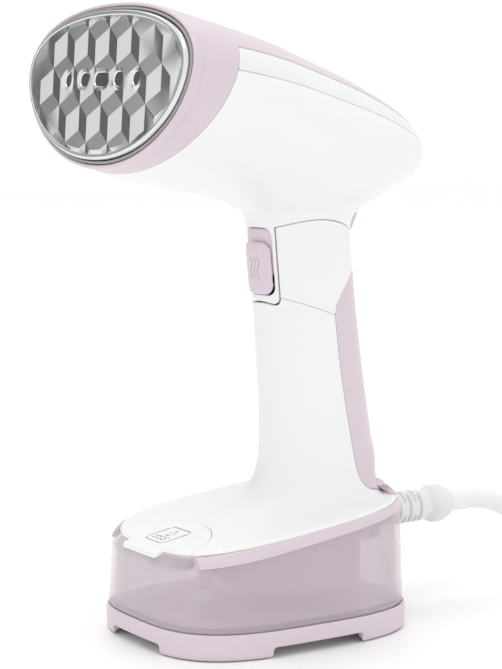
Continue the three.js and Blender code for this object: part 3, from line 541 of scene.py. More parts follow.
@dataclass
class GripForm:
    """Outer form of the handle and neck: upright ovals, with the folding joint's arch and pin."""

    sections: tuple[tuple[float, ...], ...] = (
        (62, 28.2, 18.2, 23.4), (70, 27.5, 17.6, 22.2), (85, 26.1, 17.5, 21), (99, 24.5, 17.5, 20.2),
        (114, 23, 17.5, 19.6), (125, 21.8, 17.5, 19.3), (145, 20, 17.5, 19.2), (150, 19.7, 17.7, 19.5),
        (155, 19.9, 18.6, 21.3), (158.4, 19.6, 20.5, 25.6), (161, 18.8, 22.5, 30), (166, 18, 24.5, 35))
    roundness: float = 2.2
    arch_y: float = 17.0
    arch_top: float = 152.8
    arch_radius: float = 36.0
    collar_corner: tuple[float, float] = (24.4, 117.5)
    collar_front: float = 125.0
    collar_rise: tuple[tuple[float, float], ...] = ((25.2, 121.2), (28.6, 126.2), (33.5, 131.4), (41, 137.6))
    chin_corner: float = 2.8
    tongue_half: float = 9.4
    fold_z: float = 129.4
    fold_setback: float = 5.2
    chin_reach: float = 7.0
    rear_edge: tuple[tuple[float, float], ...] = (
        (24.4, 117.5), (26.6, 100), (29.2, 85), (32.2, 70), (34, 60), (36.4, 54), (40, 51), (45, 49.6),
        (47, 47.6))

    def __post_init__(self) -> None:
        """Keeps the section table, the fold pin's place and the reach of the tongue round it."""
        self.table = np.array(self.sections, float)
        self.fold_y = float(self.front(np.array(self.fold_z))) + self.fold_setback
        self.chin_radius = math.hypot(self.fold_setback, self.chin_reach)

    def row(self, z: Array) -> list[Array]:
        """Middle, half width and half depth at a height."""
        heights = self.table[:, 0]
        places = np.interp(z, heights, np.arange(len(heights)))
        values = smooth_rows(self.table, places)
        return [values[..., k] for k in (1, 2, 3)]

    def front(self, z: Array, x: Array | float = 0.0) -> Array:
        """Y of the front skin."""
        y, a, b = self.row(z)
        n = self.roundness
        return y - b * np.maximum(1 - np.abs(np.asarray(x) / a) ** n, 0) ** (1 / n)

    def ring(self, z: float, angles: Array, grow: float = 0.0) -> Array:
        """Points round the grip at a height."""
        y, a, b = (float(v) for v in self.row(np.array(z)))
        n = 2 / self.roundness
        return np.stack([(a + grow) * power(np.cos(angles), n), y + (b + grow) * power(np.sin(angles), n),
                         np.full(len(angles), float(z))], 1)

    def distance(self, points: Array) -> Array:
        """Signed distance to the neck, negative inside, closed at its top inside the head."""
        x, y, z = points.T
        n = self.roundness
        mid, a, b = self.row(z)
        q = (np.abs(x / a) ** n + np.abs((y - mid) / b) ** n) ** (1 / n)
        top = self.table[-1, 0] + 2
        return np.maximum(np.minimum(a, b) * (q - 1), z - top)

    def above_arch(self, p: Array) -> Array:
        """Distance above the joint's arch."""
        run = p[:, 1] - self.arch_y
        height = self.arch_top - run ** 2 / (2 * self.arch_radius)
        return (p[:, 2] - height) / np.hypot(1, run / self.arch_radius)

    def above_collar(self, p: Array) -> Array:
        """Distance above the collar's lower edge."""
        front = float(self.front(np.array(self.collar_front)))
        line = np.array([(-30, self.collar_front + 1.2), (front, self.collar_front), self.collar_corner,
                         *self.collar_rise, (60, 150)])
        return side_distance(line, p)

    def behind_rear_edge(self, p: Array) -> Array:
        """Distance behind the front edge of the rear cover."""
        curve = smooth_line(self.rear_edge, 4)
        line = np.concatenate([[(self.rear_edge[0][0], 140)], curve, [(self.rear_edge[-1][0], 30)]])
        return side_distance(line, p)

    def outside_mouth(self, p: Array, spare: float) -> Array:
        """Distance outside the opening that the tongue hangs in."""
        return np.where(p[:, 1] < self.arch_y, -self.in_chin(p, spare), 5)

    def in_chin(self, p: Array, grow: float) -> Array:
        """Distance inside the tongue's outline, grown by an amount, with its two round lower corners."""
        side = self.tongue_half + grow - np.abs(p[:, 0])
        around = self.chin_radius + grow - np.hypot(p[:, 1] - self.fold_y, p[:, 2] - self.fold_z)
        low = np.where(p[:, 2] < self.fold_z, around, self.chin_corner)
        corner = self.chin_corner - np.hypot(np.maximum(self.chin_corner - side, 0),
                                             np.maximum(self.chin_corner - low, 0))
        return np.minimum(np.minimum(side, low), corner)


@dataclass
class BaseForm:
    """Outline and heights of the base: foot ring, tank, band and the edge of the cover."""

    half_width: float = 43.5
    front: float = 52.2
    back: float = 54.0
    roundness: float = 3.2
    foot_height: float = 9.5
    rim_height: float = 43.2
    rim_slope: float = 0.125
    rim_inset: float = 3.0
    rim_nose_inset: float = 5.5
    rim_dip: float = 1.4
    rim_dip_start: float = -20.0
    band_drop: float = 4.2
    band_slope: float = 0.145
    band_start: float = -43.5
    cap_y: float = -50.0
    cap_radius: float = 26.5
    # Rise of the cover into the grip: share of the way in, height above the edge
    profile: tuple[tuple[float, float], ...] = (
        (0, 0), (0.02, 0.7), (0.08, 1.2), (0.35, 1.8), (0.6, 2.8), (0.78, 4.6), (0.9, 7.8), (0.97, 12.4),
        (1, 18.8))
    points: int = 288

    def __post_init__(self) -> None:
        """Spaces the outline's points evenly."""
        self.angles = even_turns(self.half_width, (self.front + self.back) / 2, self.roundness, self.points)

    def outline(self, inset: float, nose_inset: float | None = None) -> Array:
        """Plan outline, drawn in by an inset, and by another one at the nose."""
        n = 2 / self.roundness
        s = power(np.sin(self.angles), n)
        nose = inset if nose_inset is None else nose_inset
        return np.stack([(self.half_width - inset) * power(np.cos(self.angles), n),
                         s * np.where(s < 0, self.front - nose, self.back - inset)], 1)

    def ring(self, inset: float, height: Callable[[Array], Array] | float,
             nose_inset: float | None = None) -> Array:
        """Outline at a height, which may depend on Y."""
        flat = self.outline(inset, nose_inset)
        z = height(flat[:, 1]) if callable(height) else np.full(len(flat), float(height))
        return np.column_stack([flat, z])

    def rim(self, y: Array) -> Array:
        """Height of the cover's edge."""
        dip = self.rim_dip * (np.minimum(0, y - self.rim_dip_start) / 27) ** 2
        return self.rim_height + self.rim_slope * y - dip

    def band(self, y: Array) -> Array:
        """Height of the band's lower edge."""
        return self.rim_height - self.band_drop + self.band_slope * y

    def cover(self, grip: GripForm, top: float) -> Skin:
        """Surface of the cover as it rises from its edge into the grip, up to a height."""
        foot = self.ring(self.rim_inset, self.rim, self.rim_nose_inset)
        fold = grip.ring(grip.table[0, 0], self.angles)
        rings = []
        for share, rise in smooth_line(self.profile, 7):
            spot = foot * (1 - share) + fold * share
            spot[:, 2] = foot[:, 2] * (1 - share) + self.rim_height * share + rise
            rings.append(spot)
        base = grip.table[0, 0]
        rings += [grip.ring(z, self.angles) for z in np.linspace(base, top, int((top - base) / 1.1))[1:]]
        return lofted(np.array(rings))


def in_tongue(grip: GripForm, p: Array, spare: float) -> Array:
    """Distance inside the tongue, the front wall of the neck that hangs over the folding joint."""
    return np.where(p[:, 1] < grip.fold_y, grip.in_chin(p, -spare), -5)


# ---------------------------------------------------------------- small shaped pieces
def pad(half: tuple[float, float], corner: float, profile: Sequence[tuple[float, float]],
        place: Callable[[Array, Array, Array], Array], per: int = 10) -> Skin:
    """A rounded rectangular piece, bent over a surface.

    Args:
        half: Half width and half length.
        corner: Radius of its corners in plan.
        profile: Steps (inset from the outline, height), from the underside's edge up and over.
        place: Turns plan places and heights into points in space.
        per: Points on each corner and each side.

    Returns:
        A closed piece.
    """
    rings = []
    inner = min(half) - 0.02
    steps = list(profile)
    start, height = steps[-1]
    steps += [(start + (inner - start) * share, height) for share in (0.12, 0.3, 0.5, 0.7, 0.85, 1)]
    for inset, rise in steps:
        radius = max(corner - inset, 0.01)
        cx, cy = half[0] - inset - radius, half[1] - inset - radius
        bows = []
        for k, (sx, sy) in enumerate(((1, 1), (-1, 1), (-1, -1), (1, -1))):
            turn = math.pi / 2 * (k + np.linspace(0, 1, per))
            bows.append(np.stack([sx * max(cx, 0) + radius * np.cos(turn),
                                  sy * max(cy, 0) + radius * np.sin(turn)], 1))
        ring = []
        for k, bow in enumerate(bows):
            after = bows[(k + 1) % 4][0]
            share = np.linspace(0, 1, per + 2)[1:-1, None]
            ring += [bow, bow[-1] * (1 - share) + after * share]
        flat = np.concatenate(ring)
        rings.append(place(flat[:, 0], flat[:, 1], np.full(len(flat), float(rise))))
    skin = lofted(np.array(rings))
    size = len(rings[0])
    centre = len(skin.points)
    i = np.arange(size)
    j = (i + 1) % size
    floor = np.stack([np.full(size, centre), i, j], 1)
    inside = rings[0].mean(0)
    cover = np.stack([np.full(size, centre + 1), (len(rings) - 1) * size + i, (len(rings) - 1) * size + j], 1)
    points = np.concatenate([skin.points, [inside, rings[-1].mean(0)]])
    near = skin.faces[np.any(skin.faces == 0, 1)][0]
    aligned = any(near[k] == 0 and near[(k + 1) % 3] == 1 for k in range(3))
    faces = np.concatenate([skin.faces, floor[:, ::-1] if aligned else floor,
                            cover if aligned else cover[:, ::-1]])
    return skin_of(points, faces)


def turned(profile: Sequence[tuple[float, float]], count: int = 64,
           radius_at: Callable[[Array, Array, Array], Array] | None = None) -> Skin:
    """A body of revolution about the Z axis.

    Args:
        profile: Steps (radius, height) from the lower end to the upper one; an end off the axis is closed flat.
        count: Points once round.
        radius_at: Changes the radius, given angle, height and radius.

    Returns:
        A closed body.
    """
    steps = [(max(r, 0.004), z) for r, z in profile]
    steps = [(0.004, steps[0][1])] + steps + [(0.004, steps[-1][1])]
    angle = turns(count)
    rings = []
    for radius, z in steps:
        r = np.full(count, radius)
        height = np.full(count, float(z))
        if radius_at and radius > 0.01:
            r = radius_at(angle, height, r)
        rings.append(np.stack([r * np.cos(angle), r * np.sin(angle), height], 1))
    return lofted(np.array(rings))


def rounded_profile(knots: Sequence[tuple[float, float]], radius: float,
                    steps: int = 4) -> list[tuple[float, float]]:
    """Replaces each inner corner of a polyline with a short arc-like curve."""
    out = [knots[0]]
    for before, here, after in zip(knots[:-2], knots[1:-1], knots[2:]):
        a, p, b = (np.array(v, float) for v in (before, here, after))
        reach = min(radius, 0.45 * np.linalg.norm(a - p), 0.45 * np.linalg.norm(b - p))
        start, end = p + reach * unit(a - p), p + reach * unit(b - p)
        for k in range(steps + 1):
            t = k / steps
            out.append(tuple((1 - t) ** 2 * start + 2 * t * (1 - t) * p + t * t * end))
    out.append(knots[-1])
    return out


def tube(line: Array, radius: float, count: int = 12) -> Skin:
    """A round tube along a line, closed at both ends."""
    ahead = unit(np.gradient(line, axis=0))
    side = np.zeros_like(line)
    side[0] = unit(np.cross(ahead[0], (0.3, 0.2, 1.0)))
    for k in range(1, len(line)):
        drift = side[k - 1] - np.dot(side[k - 1], ahead[k]) * ahead[k]
        side[k] = unit(drift)
    other = np.cross(ahead, side)
    angle = turns(count)
    ring = [p + radius * (np.outer(np.cos(angle), s) + np.outer(np.sin(angle), o)) for p, s,
            o in zip(line, side, other)]
    ends = [np.repeat(line[:1], count, 0) + 0.001 * (ring[0] - line[0]),
            np.repeat(line[-1:], count, 0) + 0.001 * (ring[-1] - line[-1])]
    return lofted(np.array([ends[0], *ring, ends[1]]))


def ribbon(line: Array, width: float, height: float, place: Callable[[Array, Array, Array], Array],
           closed: bool = False) -> Skin:
    """A thin printed or moulded line that lies on a surface.

    Args:
        line: Plan points of its middle.
        width: Width of the line.
        height: Height of its top above the surface.
        place: Turns plan places and heights into points in space.
        closed: Whether it joins up.

    Returns:
        A closed low ridge.
    """
    if closed:
        ahead = unit(np.roll(line, -1, 0) - np.roll(line, 1, 0))
    else:
        ahead = unit(np.gradient(line, axis=0))
    side = np.stack([-ahead[:, 1], ahead[:, 0]], 1) * width / 2
    rows = []
    for offset, rise in ((1, -0.15), (1, 0.6 * height), (0.75, height), (-0.75, height), (-1, 0.6 * height),
                         (-1, -0.15)):
        flat = line + offset * side
        rows.append(place(flat[:, 0], flat[:, 1], np.full(len(flat), rise)))
    rings = np.array(rows).transpose(1, 0, 2)
    if closed:
        rings = np.concatenate([rings, rings[:1]])
    else:
        rings = np.concatenate([rings[:1].mean(1, keepdims=True) + 0.01 *
                                (rings[:1] - rings[:1].mean(1, keepdims=True)),
                                rings, rings[-1:].mean(1, keepdims=True)
                                + 0.01 * (rings[-1:] - rings[-1:].mean(1, keepdims=True))])
    return lofted(rings)


# ---------------------------------------------------------------- from skins to objects
@dataclass
class Stage:
    """Puts skins into the scene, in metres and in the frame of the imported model."""

    shift: float

    def point(self, p: Sequence[float]) -> tuple[float, float, float]:
        """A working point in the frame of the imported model, in metres."""
        return p[0] * MM, (p[1] + self.shift) * MM, p[2] * MM

    def add(self, name: str, skin: Skin, body: str, slot: str, material: bpy.types.Material,
            replaces: Sequence[str] = (), crease: float = 32.0) -> bpy.types.Object:
        """Makes a piece of a skin.

        Args:
            name: Name of the piece.
            skin: Its surface.
            body: Body that it rides on.
            slot: Material slot of the record; not used.
            material: Its finish.
            replaces: CAD nodes that it stands for.
            crease: Angle, in degrees, above which an edge is sharp.

        Returns:
            The new object.
        """
        mesh = bpy.data.meshes.new(name)
        points = (skin.points + (0, self.shift, 0)) * MM
        good = (skin.faces[:, 0] != skin.faces[:, 1]) & (skin.faces[:, 1] != skin.faces[:, 2])
        mesh.from_pydata(points.tolist(), [], skin.faces[good].tolist())
        mesh.validate()
        mesh.shade_smooth()
        mesh.set_sharp_from_angle(angle=math.radians(crease))
        mesh.materials.append(material)
        piece = bpy.data.objects.new(name, mesh)
        bpy.context.scene.collection.objects.link(piece)
        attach(piece, body)
        if replaces:
            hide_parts(*replaces)
        log.info("%s: %d points, %d faces", name, len(skin.points), len(skin.faces))
        return piece


# ---------------------------------------------------------------- shader maths
class Wire:
    """A value in a material's node tree, with arithmetic that adds the nodes for it."""

    def __init__(self, tree: bpy.types.NodeTree, socket: bpy.types.NodeSocket) -> None:
        """Wraps a node's output."""
        self.tree = tree
        self.socket = socket

    def _sum(self, operation: str, first: "Wire | float", second: "Wire | float") -> "Wire":
        """Adds a Math node for an operation on two values."""
        return add_node(self.tree, "ShaderNodeMath", {"operation": operation}, {0: first, 1: second})

    def __add__(self, other: "Wire | float") -> "Wire":
        """This plus other."""
        return self._sum("ADD", self, other)

    __radd__ = __add__

    def __sub__(self, other: "Wire | float") -> "Wire":
        """This less other."""
        return self._sum("SUBTRACT", self, other)

    def __rsub__(self, other: float) -> "Wire":
        """Other less this."""
        return self._sum("SUBTRACT", other, self)

    def __mul__(self, other: "Wire | float") -> "Wire":
        """This times other."""
        return self._sum("MULTIPLY", self, other)

    __rmul__ = __mul__


def add_node(tree: bpy.types.NodeTree, kind: str, settings: dict[str, Any] | None = None,
             inputs: dict[int | str, Any] | None = None, output: int | str = 0) -> Wire:
    """Adds one node.

    Args:
        tree: The material's node tree.
        kind: Type of the node.
        settings: Its properties, set before its sockets; "stops" sets a ramp's stops.
        inputs: Values or wires for its sockets, by number or name.
        output: Number or name of the output to return.

    Returns:
        The chosen output.
    """
    node = tree.nodes.new(kind)
    for name, value in (settings or {}).items():
        if name == "stops":
            ramp = node.color_ramp.elements
            while len(ramp) < len(value):
                ramp.new(0.5)
            for stop, (place, colour) in zip(ramp, value):
                stop.position = place
                stop.color = (*colour, 1)
        else:
            setattr(node, name, value)
    for name, value in (inputs or {}).items():
        if isinstance(value, Wire):
            tree.links.new(value.socket, node.inputs[name])
        else:
            node.inputs[name].default_value = value
    return Wire(tree, node.outputs[output])


def blank(name: str) -> tuple[bpy.types.Material, bpy.types.NodeTree, bpy.types.Node]:
    """A new material, its tree and its shader."""
    material = bpy.data.materials.new(name)
    material.use_nodes = True
    tree = material.node_tree
    return material, tree, tree.nodes["Principled BSDF"]


def link(wire: Wire, shader: bpy.types.Node, socket: str) -> None:
    """Feeds a shader's socket."""
    wire.tree.links.new(wire.socket, shader.inputs[socket])


Colour = tuple[float, float, float]


def mix_colour(tree: bpy.types.NodeTree, share: Wire | float, first: Any, second: Any) -> Wire:
    """Mixes two colours."""
    pack = lambda c: c if isinstance(c, Wire) else (*c, 1)
    return add_node(tree, "ShaderNodeMix", {"data_type": "RGBA"},
                    {0: share, 6: pack(first), 7: pack(second)}, 2)


class Grain(Enum):
    """What the fine texture of a moulded surface looks like."""

    SATIN = "satin"
    GLOSS = "gloss"
    MATT = "matt"


@dataclass(frozen=True)
class Moulded:
    """Moulded plastic, rubber or silicone: a fine grain, faint flow marks and a slight change of tone."""

    name: str
    colour: Colour
    roughness: float
    grain: Grain = Grain.SATIN
    coat: float = 0.0
    alpha: float = 1.0
    speck: float = 900.0
    relief: float = 0.000015
    tone: float = 0.012
    subsurface: float = 0.0

    def material(self) -> bpy.types.Material:
        """Builds the finish."""
        material, tree, shader = blank(self.name)
        place = add_node(tree, "ShaderNodeTexCoord", output="Object")
        flow = add_node(tree, "ShaderNodeTexNoise", {"noise_dimensions": "3D"},
                        {"Vector": place, "Scale": 14.0, "Detail": 2.0, "Roughness": 0.5})
        fine = add_node(tree, "ShaderNodeTexNoise", None,
                        {"Vector": place, "Scale": self.speck, "Detail": 1.0})
        deep = tuple(c * (1 - self.tone) for c in self.colour)
        pale = tuple(min(1.0, c * (1 + self.tone / 2)) for c in self.colour)
        link(mix_colour(tree, flow, deep, pale), shader, "Base Color")
        spread = {Grain.SATIN: 0.08, Grain.GLOSS: 0.03, Grain.MATT: 0.12}[self.grain]
        link(self.roughness - spread / 2 + flow * (spread / 2) + fine * (spread / 2), shader, "Roughness")
        if self.grain is not Grain.GLOSS:
            bump = add_node(tree, "ShaderNodeBump", None,
                            {"Height": fine, "Strength": 0.35, "Distance": self.relief}, "Normal")
            link(bump, shader, "Normal")
        shader.inputs["Coat Weight"].default_value = self.coat
        shader.inputs["Coat Roughness"].default_value = 0.12
        shader.inputs["Alpha"].default_value = self.alpha
        shader.inputs["Subsurface Weight"].default_value = self.subsurface
        shader.inputs["Subsurface Scale"].default_value = 0.004
        return material


@dataclass(frozen=True)
class Metal:
    """Bare or plated metal: fine brushing or casting grain and slight smears."""

    name: str
    colour: Colour
    roughness: float
    stretch: tuple[float, float, float] = (1.0, 1.0, 1.0)
    scale: float = 400.0
    relief: float = 0.00001
    smear: float = 0.1

    def material(self) -> bpy.types.Material:
        """Builds the finish."""
        material, tree, shader = blank(self.name)
        place = add_node(tree, "ShaderNodeTexCoord", output="Object")
        stretched = add_node(tree, "ShaderNodeMapping", None, {"Vector": place, "Scale": self.stretch})
        brushed = add_node(tree, "ShaderNodeTexNoise", None,
                           {"Vector": stretched, "Scale": self.scale, "Detail": 3.0})
        cloudy = add_node(tree, "ShaderNodeTexNoise", None, {"Vector": place, "Scale": 25.0, "Detail": 2.0})
        dull = tuple(c * 0.9 for c in self.colour)
        link(mix_colour(tree, cloudy, dull, self.colour), shader, "Base Color")
        link(self.roughness + self.smear * (cloudy - 0.5) + 0.06 * brushed, shader, "Roughness")
        bump = add_node(tree, "ShaderNodeBump", None,
                        {"Height": brushed, "Strength": 0.3, "Distance": self.relief},
                        "Normal")
        link(bump, shader, "Normal")
        shader.inputs["Metallic"].default_value = 1.0
        return material


@dataclass(frozen=True)
class Winding:
    """Enamelled copper wire, wound side by side about the pump's axis."""

    name: str
    colour: Colour
    pitch: float = 0.0009

    def material(self) -> bpy.types.Material:
        """Builds the finish, with painted shade: the colour darkens in the grooves between turns."""
        material, tree, shader = blank(self.name)
        place = add_node(tree, "ShaderNodeTexCoord", output="Object")
        turn = add_node(tree, "ShaderNodeSeparateXYZ", None, {0: place}, 1)
        ridge = add_node(tree, "ShaderNodeMath", {"operation": "SINE"},
                         {0: turn * (2 * math.pi / self.pitch)})
        # Painted shade: the colour drops to about a third in the grooves between turns, in step with the bump.
        link(mix_colour(tree, ridge * 0.5 + 0.5, tuple(c * 0.35 for c in self.colour), self.colour),
             shader, "Base Color")
        bump = add_node(tree, "ShaderNodeBump", None,
                        {"Height": ridge, "Strength": 0.8, "Distance": 0.0002}, "Normal")
        link(bump, shader, "Normal")
        shader.inputs["Metallic"].default_value = 0.9
        shader.inputs["Roughness"].default_value = 0.35
        return material


@dataclass
class Finishes:
    """Every finish of the steamer, built once."""

    white: Moulded = Moulded("satin_white", (0.86, 0.86, 0.857), 0.36)
    blush: Moulded = Moulded("satin_blush", (0.68, 0.582, 0.64), 0.34)
    blush_deep: Moulded = Moulded("soft_rose", (0.66, 0.53, 0.6), 0.42)
    trim: Moulded = Moulded("pearl_trim", (0.8, 0.805, 0.81), 0.28, coat=0.4, relief=0.00002)
    control: Moulded = Moulded("dusty_pink", (0.7, 0.59, 0.66), 0.4)
    mark: Moulded = Moulded("grey_marking", (0.33, 0.3, 0.32), 0.5)
    tank: Moulded = Moulded("clear_blush", (0.77, 0.66, 0.73), 0.14, Grain.GLOSS, coat=0.5, alpha=0.42)
    cord: Moulded = Moulded("cord_white", (0.88, 0.88, 0.875), 0.45, Grain.MATT)
    soft: Moulded = Moulded("plain_white", (0.8, 0.8, 0.79), 0.5, Grain.MATT)
    dark: Moulded = Moulded("dark_plastic", (0.055, 0.05, 0.052), 0.5, Grain.MATT)
    inner: Moulded = Moulded("chassis_plum", (0.52, 0.43, 0.49), 0.5, Grain.MATT)
    rubber: Moulded = Moulded("foot_rubber", (0.03, 0.03, 0.03), 0.75, Grain.MATT)
    silicone: Moulded = Moulded("seal_silicone", (0.36, 0.35, 0.355), 0.5, Grain.MATT)
    hose: Moulded = Moulded("hose_silicone", (0.72, 0.68, 0.65), 0.4)
    plate: Metal = Metal("polished_plate", (0.78, 0.79, 0.8), 0.14, smear=0.05)
    steel: Metal = Metal("bright_steel", (0.62, 0.63, 0.64), 0.25, (1, 8, 1))
    cast: Metal = Metal("cast_metal", (0.5, 0.5, 0.51), 0.5, relief=0.00005)
    copper: Winding = Winding("copper_winding", (0.72, 0.36, 0.16))

    def __post_init__(self) -> None:
        """Builds the materials."""
        self.made = {name: getattr(self, name).material() for name in self.__dataclass_fields__}

    def __getitem__(self, name: str) -> bpy.types.Material:
        """The material of that name."""
        return self.made[name]


# ---------------------------------------------------------------- studio and mains cord
@dataclass
class Studio:
    """Camera, soft lights and the pale floor."""

    place: tuple[float, float, float] = (0.6023, -0.3965, 0.19)
    ahead: tuple[float, float, float] = (-0.8335, 0.5413, -0.1106)
    lens: float = 104.93
    # Lamps: place, aim, width, height, power
    lamps: tuple[tuple[Any, ...], ...] = (
        ((0.3, -0.5, 1.9), (0, 0, 0.12), 1.0, 0.8, 4.0),
        ((-0.9, 0.5, 1.7), (0, 0, 0.1), 1.2, 1.0, 3.0))
    room_light: float = 1.02
    card_toward: tuple[float, float, float] = (-0.877, -0.481, 0.05)
    card_across: tuple[float, float, float] = (0.47, -0.85, 0.24)
    # Dark card that the plate mirrors: from its dark side to its pale side, and from its edge inwards
    card: tuple[tuple[float, float], ...] = ((0.0, 0.1), (0.4, 0.16), (0.5, 0.42), (0.58, 0.5),
                                             (0.72, 0.85), (1.0, 1.0))
    card_edge: tuple[tuple[float, float], ...] = ((0.8, 0.0), (0.9, 1.0))

    def camera(self) -> None:
        """Sets up the camera."""
        data = bpy.data.cameras.new("camera")
        data.lens, data.sensor_width, data.clip_end = self.lens, 36.0, 20.0
        camera = bpy.data.objects.new("camera", data)
        bpy.context.scene.collection.objects.link(camera)
        camera.location = self.place
        camera.rotation_euler = Vector(self.ahead).to_track_quat("-Z", "Y").to_euler()
        bpy.context.scene.camera = camera

    def lights(self) -> None:
        """Hangs the lamps in a white room."""
        world = bpy.data.worlds.new("white_room")
        bpy.context.scene.world = world
        world.use_nodes = True
        tree = world.node_tree
        toward = add_node(tree, "ShaderNodeTexCoord", output="Generated")
        length = math.sqrt(sum(c * c for c in self.card_toward))
        middle = tuple(c / length for c in self.card_toward)
        off = add_node(tree, "ShaderNodeVectorMath", {"operation": "DOT_PRODUCT"}, {0: toward, 1: middle},
                       "Value")
        across = add_node(tree, "ShaderNodeVectorMath", {"operation": "DOT_PRODUCT"},
                          {0: toward, 1: self.card_across}, "Value")
        ramp = lambda steps, at: add_node(tree, "ShaderNodeValToRGB", {
            "stops": [(place, (grey, grey, grey)) for place, grey in steps]}, {0: at})
        room = 1 - ramp(self.card_edge, off) * (1 - ramp(self.card, across + 0.5))
        background = tree.nodes["Background"]
        background.inputs["Strength"].default_value = self.room_light
        link(room, background, "Color")
        for i, (place, aim, width, height, strength) in enumerate(self.lamps):
            data = bpy.data.lights.new(f"softbox_{i + 1}", "AREA")
            data.shape, data.size, data.size_y, data.energy = "RECTANGLE", width, height, strength
            lamp = bpy.data.objects.new(f"softbox_{i + 1}", data)
            lamp.location = place
            lamp.rotation_euler = (Vector(aim) - Vector(place)).to_track_quat("-Z", "Y").to_euler()
            bpy.context.scene.collection.objects.link(lamp)
        bpy.context.scene.view_settings.view_transform = "Standard"

    def floor(self, finish: Moulded, half: float = 4.0) -> None:
        """Lays the floor just under the feet."""
        mesh = bpy.data.meshes.new("studio_floor")
        corners = [(-half, -half, -0.0002), (half, -half, -0.0002), (half, half, -0.0002),
                   (-half, half, -0.0002)]
        mesh.from_pydata(corners, [], [(0, 1, 2, 3)])
        mesh.materials.append(finish.material())
        floor = bpy.data.objects.new("studio_floor", mesh)
        bpy.context.scene.collection.objects.link(floor)
        floor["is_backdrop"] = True


@dataclass
class MainsCord:
    """Mains lead, wound in two layers behind the steamer, with its plug and strain relief."""

    diameter: float = 8.2
    exit_y: float = 92.3
    axis_z: float = 37.3
    coil_radius: float = 53.6
    lanes: int = 3
    low_z: float = 4.15
    high_z: float = 12.35
    per_turn: int = 16
    turns: float = 5.5
    bend: float = 45.0
    bend_y: float = 122.0
    plug_radius: float = 18.5
    plug_start: float = 158.0
    plug_length: float = 44.4
    plug_x: float = 62.0
    # The lead in front of the coil: run along the lead, height
    lead: tuple[tuple[float, float], ...] = (
        (100, 37.3), (108, 36.9), (118, 34.2), (128, 28.6), (138, 21.4), (149, 13.8), (159, 8.4), (168, 5.4))
    tail: tuple[tuple[float, float, float], ...] = (
        (54.2, 199, 12.45), (55.9, 190, 12.8), (59.3, 182, 13.5), (61, 174, 15), (61.8, 167, 16.9),
        (62, 162, 18.1))

    def route(self) -> Array:
        """Points along the middle of the lead, from the strain relief to the plug."""
        outer, inner_turns = self.coil_radius, self.lanes - 1
        join = math.acos(self.bend / (self.bend + outer))
        middle_y = self.bend_y + (self.bend + outer) * math.sin(join)
        lead = []
        for run, height in self.lead:
            turn = max(run - self.bend_y, 0) / self.bend
            lead.append((-self.bend * (1 - math.cos(turn)),
                         min(run, self.bend_y) + self.bend * math.sin(turn), height))
        low_turns = self.lanes
        place = np.linspace(-join / (2 * math.pi), self.turns, round(self.per_turn * self.turns) + 4)
        pitch = self.diameter + 0.1
        steps_in = np.where(place < low_turns, np.clip(place - 0.5, 0, inner_turns),
                            np.clip(self.turns - place, 0, inner_turns))
        radius = outer - pitch * steps_in
        climb = np.clip((place - low_turns + 0.5) / 0.5, 0, 1)
        height = self.low_z + (self.high_z - self.low_z) * climb ** 2 * (3 - 2 * climb)
        height += (4.95 - self.low_z) * np.clip(-place / join * 2 * math.pi, 0, 1)
        turn = math.pi - 2 * math.pi * place
        coil = np.stack([radius * np.cos(turn), middle_y + radius * np.sin(turn), height], 1)
        start, end = [(0, self.exit_y, self.axis_z)], [(self.plug_x, self.plug_start + 0.3, self.plug_radius)]
        return np.concatenate([start, lead, coil, self.tail, end])

    def make(self, stage: Stage, finishes: Finishes) -> None:
        curve = bpy.data.curves.new("mains_lead", "CURVE")
        curve.dimensions, curve.resolution_u = "3D", 5
        curve.bevel_depth, curve.bevel_resolution, curve.use_fill_caps = self.diameter / 2 * MM, 5, True
        spline = curve.splines.new("BEZIER")
        points = [stage.point(p) for p in self.route()]
        spline.bezier_points.add(len(points) - 1)
        for knot, place in zip(spline.bezier_points, points):
            knot.co = place
            knot.handle_left_type = knot.handle_right_type = "AUTO"
        curve.materials.append(finishes["cord"])
        lead = bpy.data.objects.new("mains_lead", curve)
        bpy.context.scene.collection.objects.link(lead)
        bpy.context.view_layer.update()
        length = spline.calc_length()
        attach(lead, "base")
        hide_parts("cord_lead", "cord_coil", "cord_tail")
        plug = self.plug(stage, finishes)
        pins = self.pins(stage, finishes)
        stage.point((0, self.exit_y, self.axis_z))
        self.relief(stage, finishes)
        log.info("mains lead: %.3f m of %.1f mm", length, self.diameter)

    def plug(self, stage: Stage, finishes: Finishes) -> bpy.types.Object:
        """Round moulded plug with finger ribs and the earthing notches at its sides."""
        length = self.plug_length
        knots = rounded_profile([(5.3, 0), (6.2, 1.2), (6.6, 7), (8.6, 14), (16.2, 20.5),
                                 (self.plug_radius, 24),
                                 (self.plug_radius, length - 1.2), (self.plug_radius - 1.2, length)], 1.6)

        def shaped(angle: Array, height: Array, radius: Array) -> Array:
            """Waists the grip and cuts the notches."""
            notch = np.clip((2.6 - np.abs(np.abs(np.cos(angle)) * radius)) / 0.8, 0, 1)
            deep = np.clip((height - length + 15) / 2, 0, 1) * notch
            ridge = 0.22 * np.cos(24 * angle) * np.clip((height - 23) / 3, 0,
                                                        1) * np.clip((length - 17 - height) / 2, 0, 1)
            return radius - 2.4 * deep + np.minimum(ridge, 0)

        body = turned([(r, z) for r, z in knots], 192, shaped)
        points = body.points
        turned_points = np.stack([self.plug_x + points[:, 0], self.plug_start - points[:, 2],
                                  self.plug_radius + points[:, 1]], 1)
        skin = skin_of(turned_points, body.faces)
        if np.sum((skin.points - skin.points.mean(0)) * skin.normals) < 0:
            skin = flipped(skin)
        return stage.add("plug_body", skin, "base", "cord_plastic", finishes["soft"], ["mains_plug"])

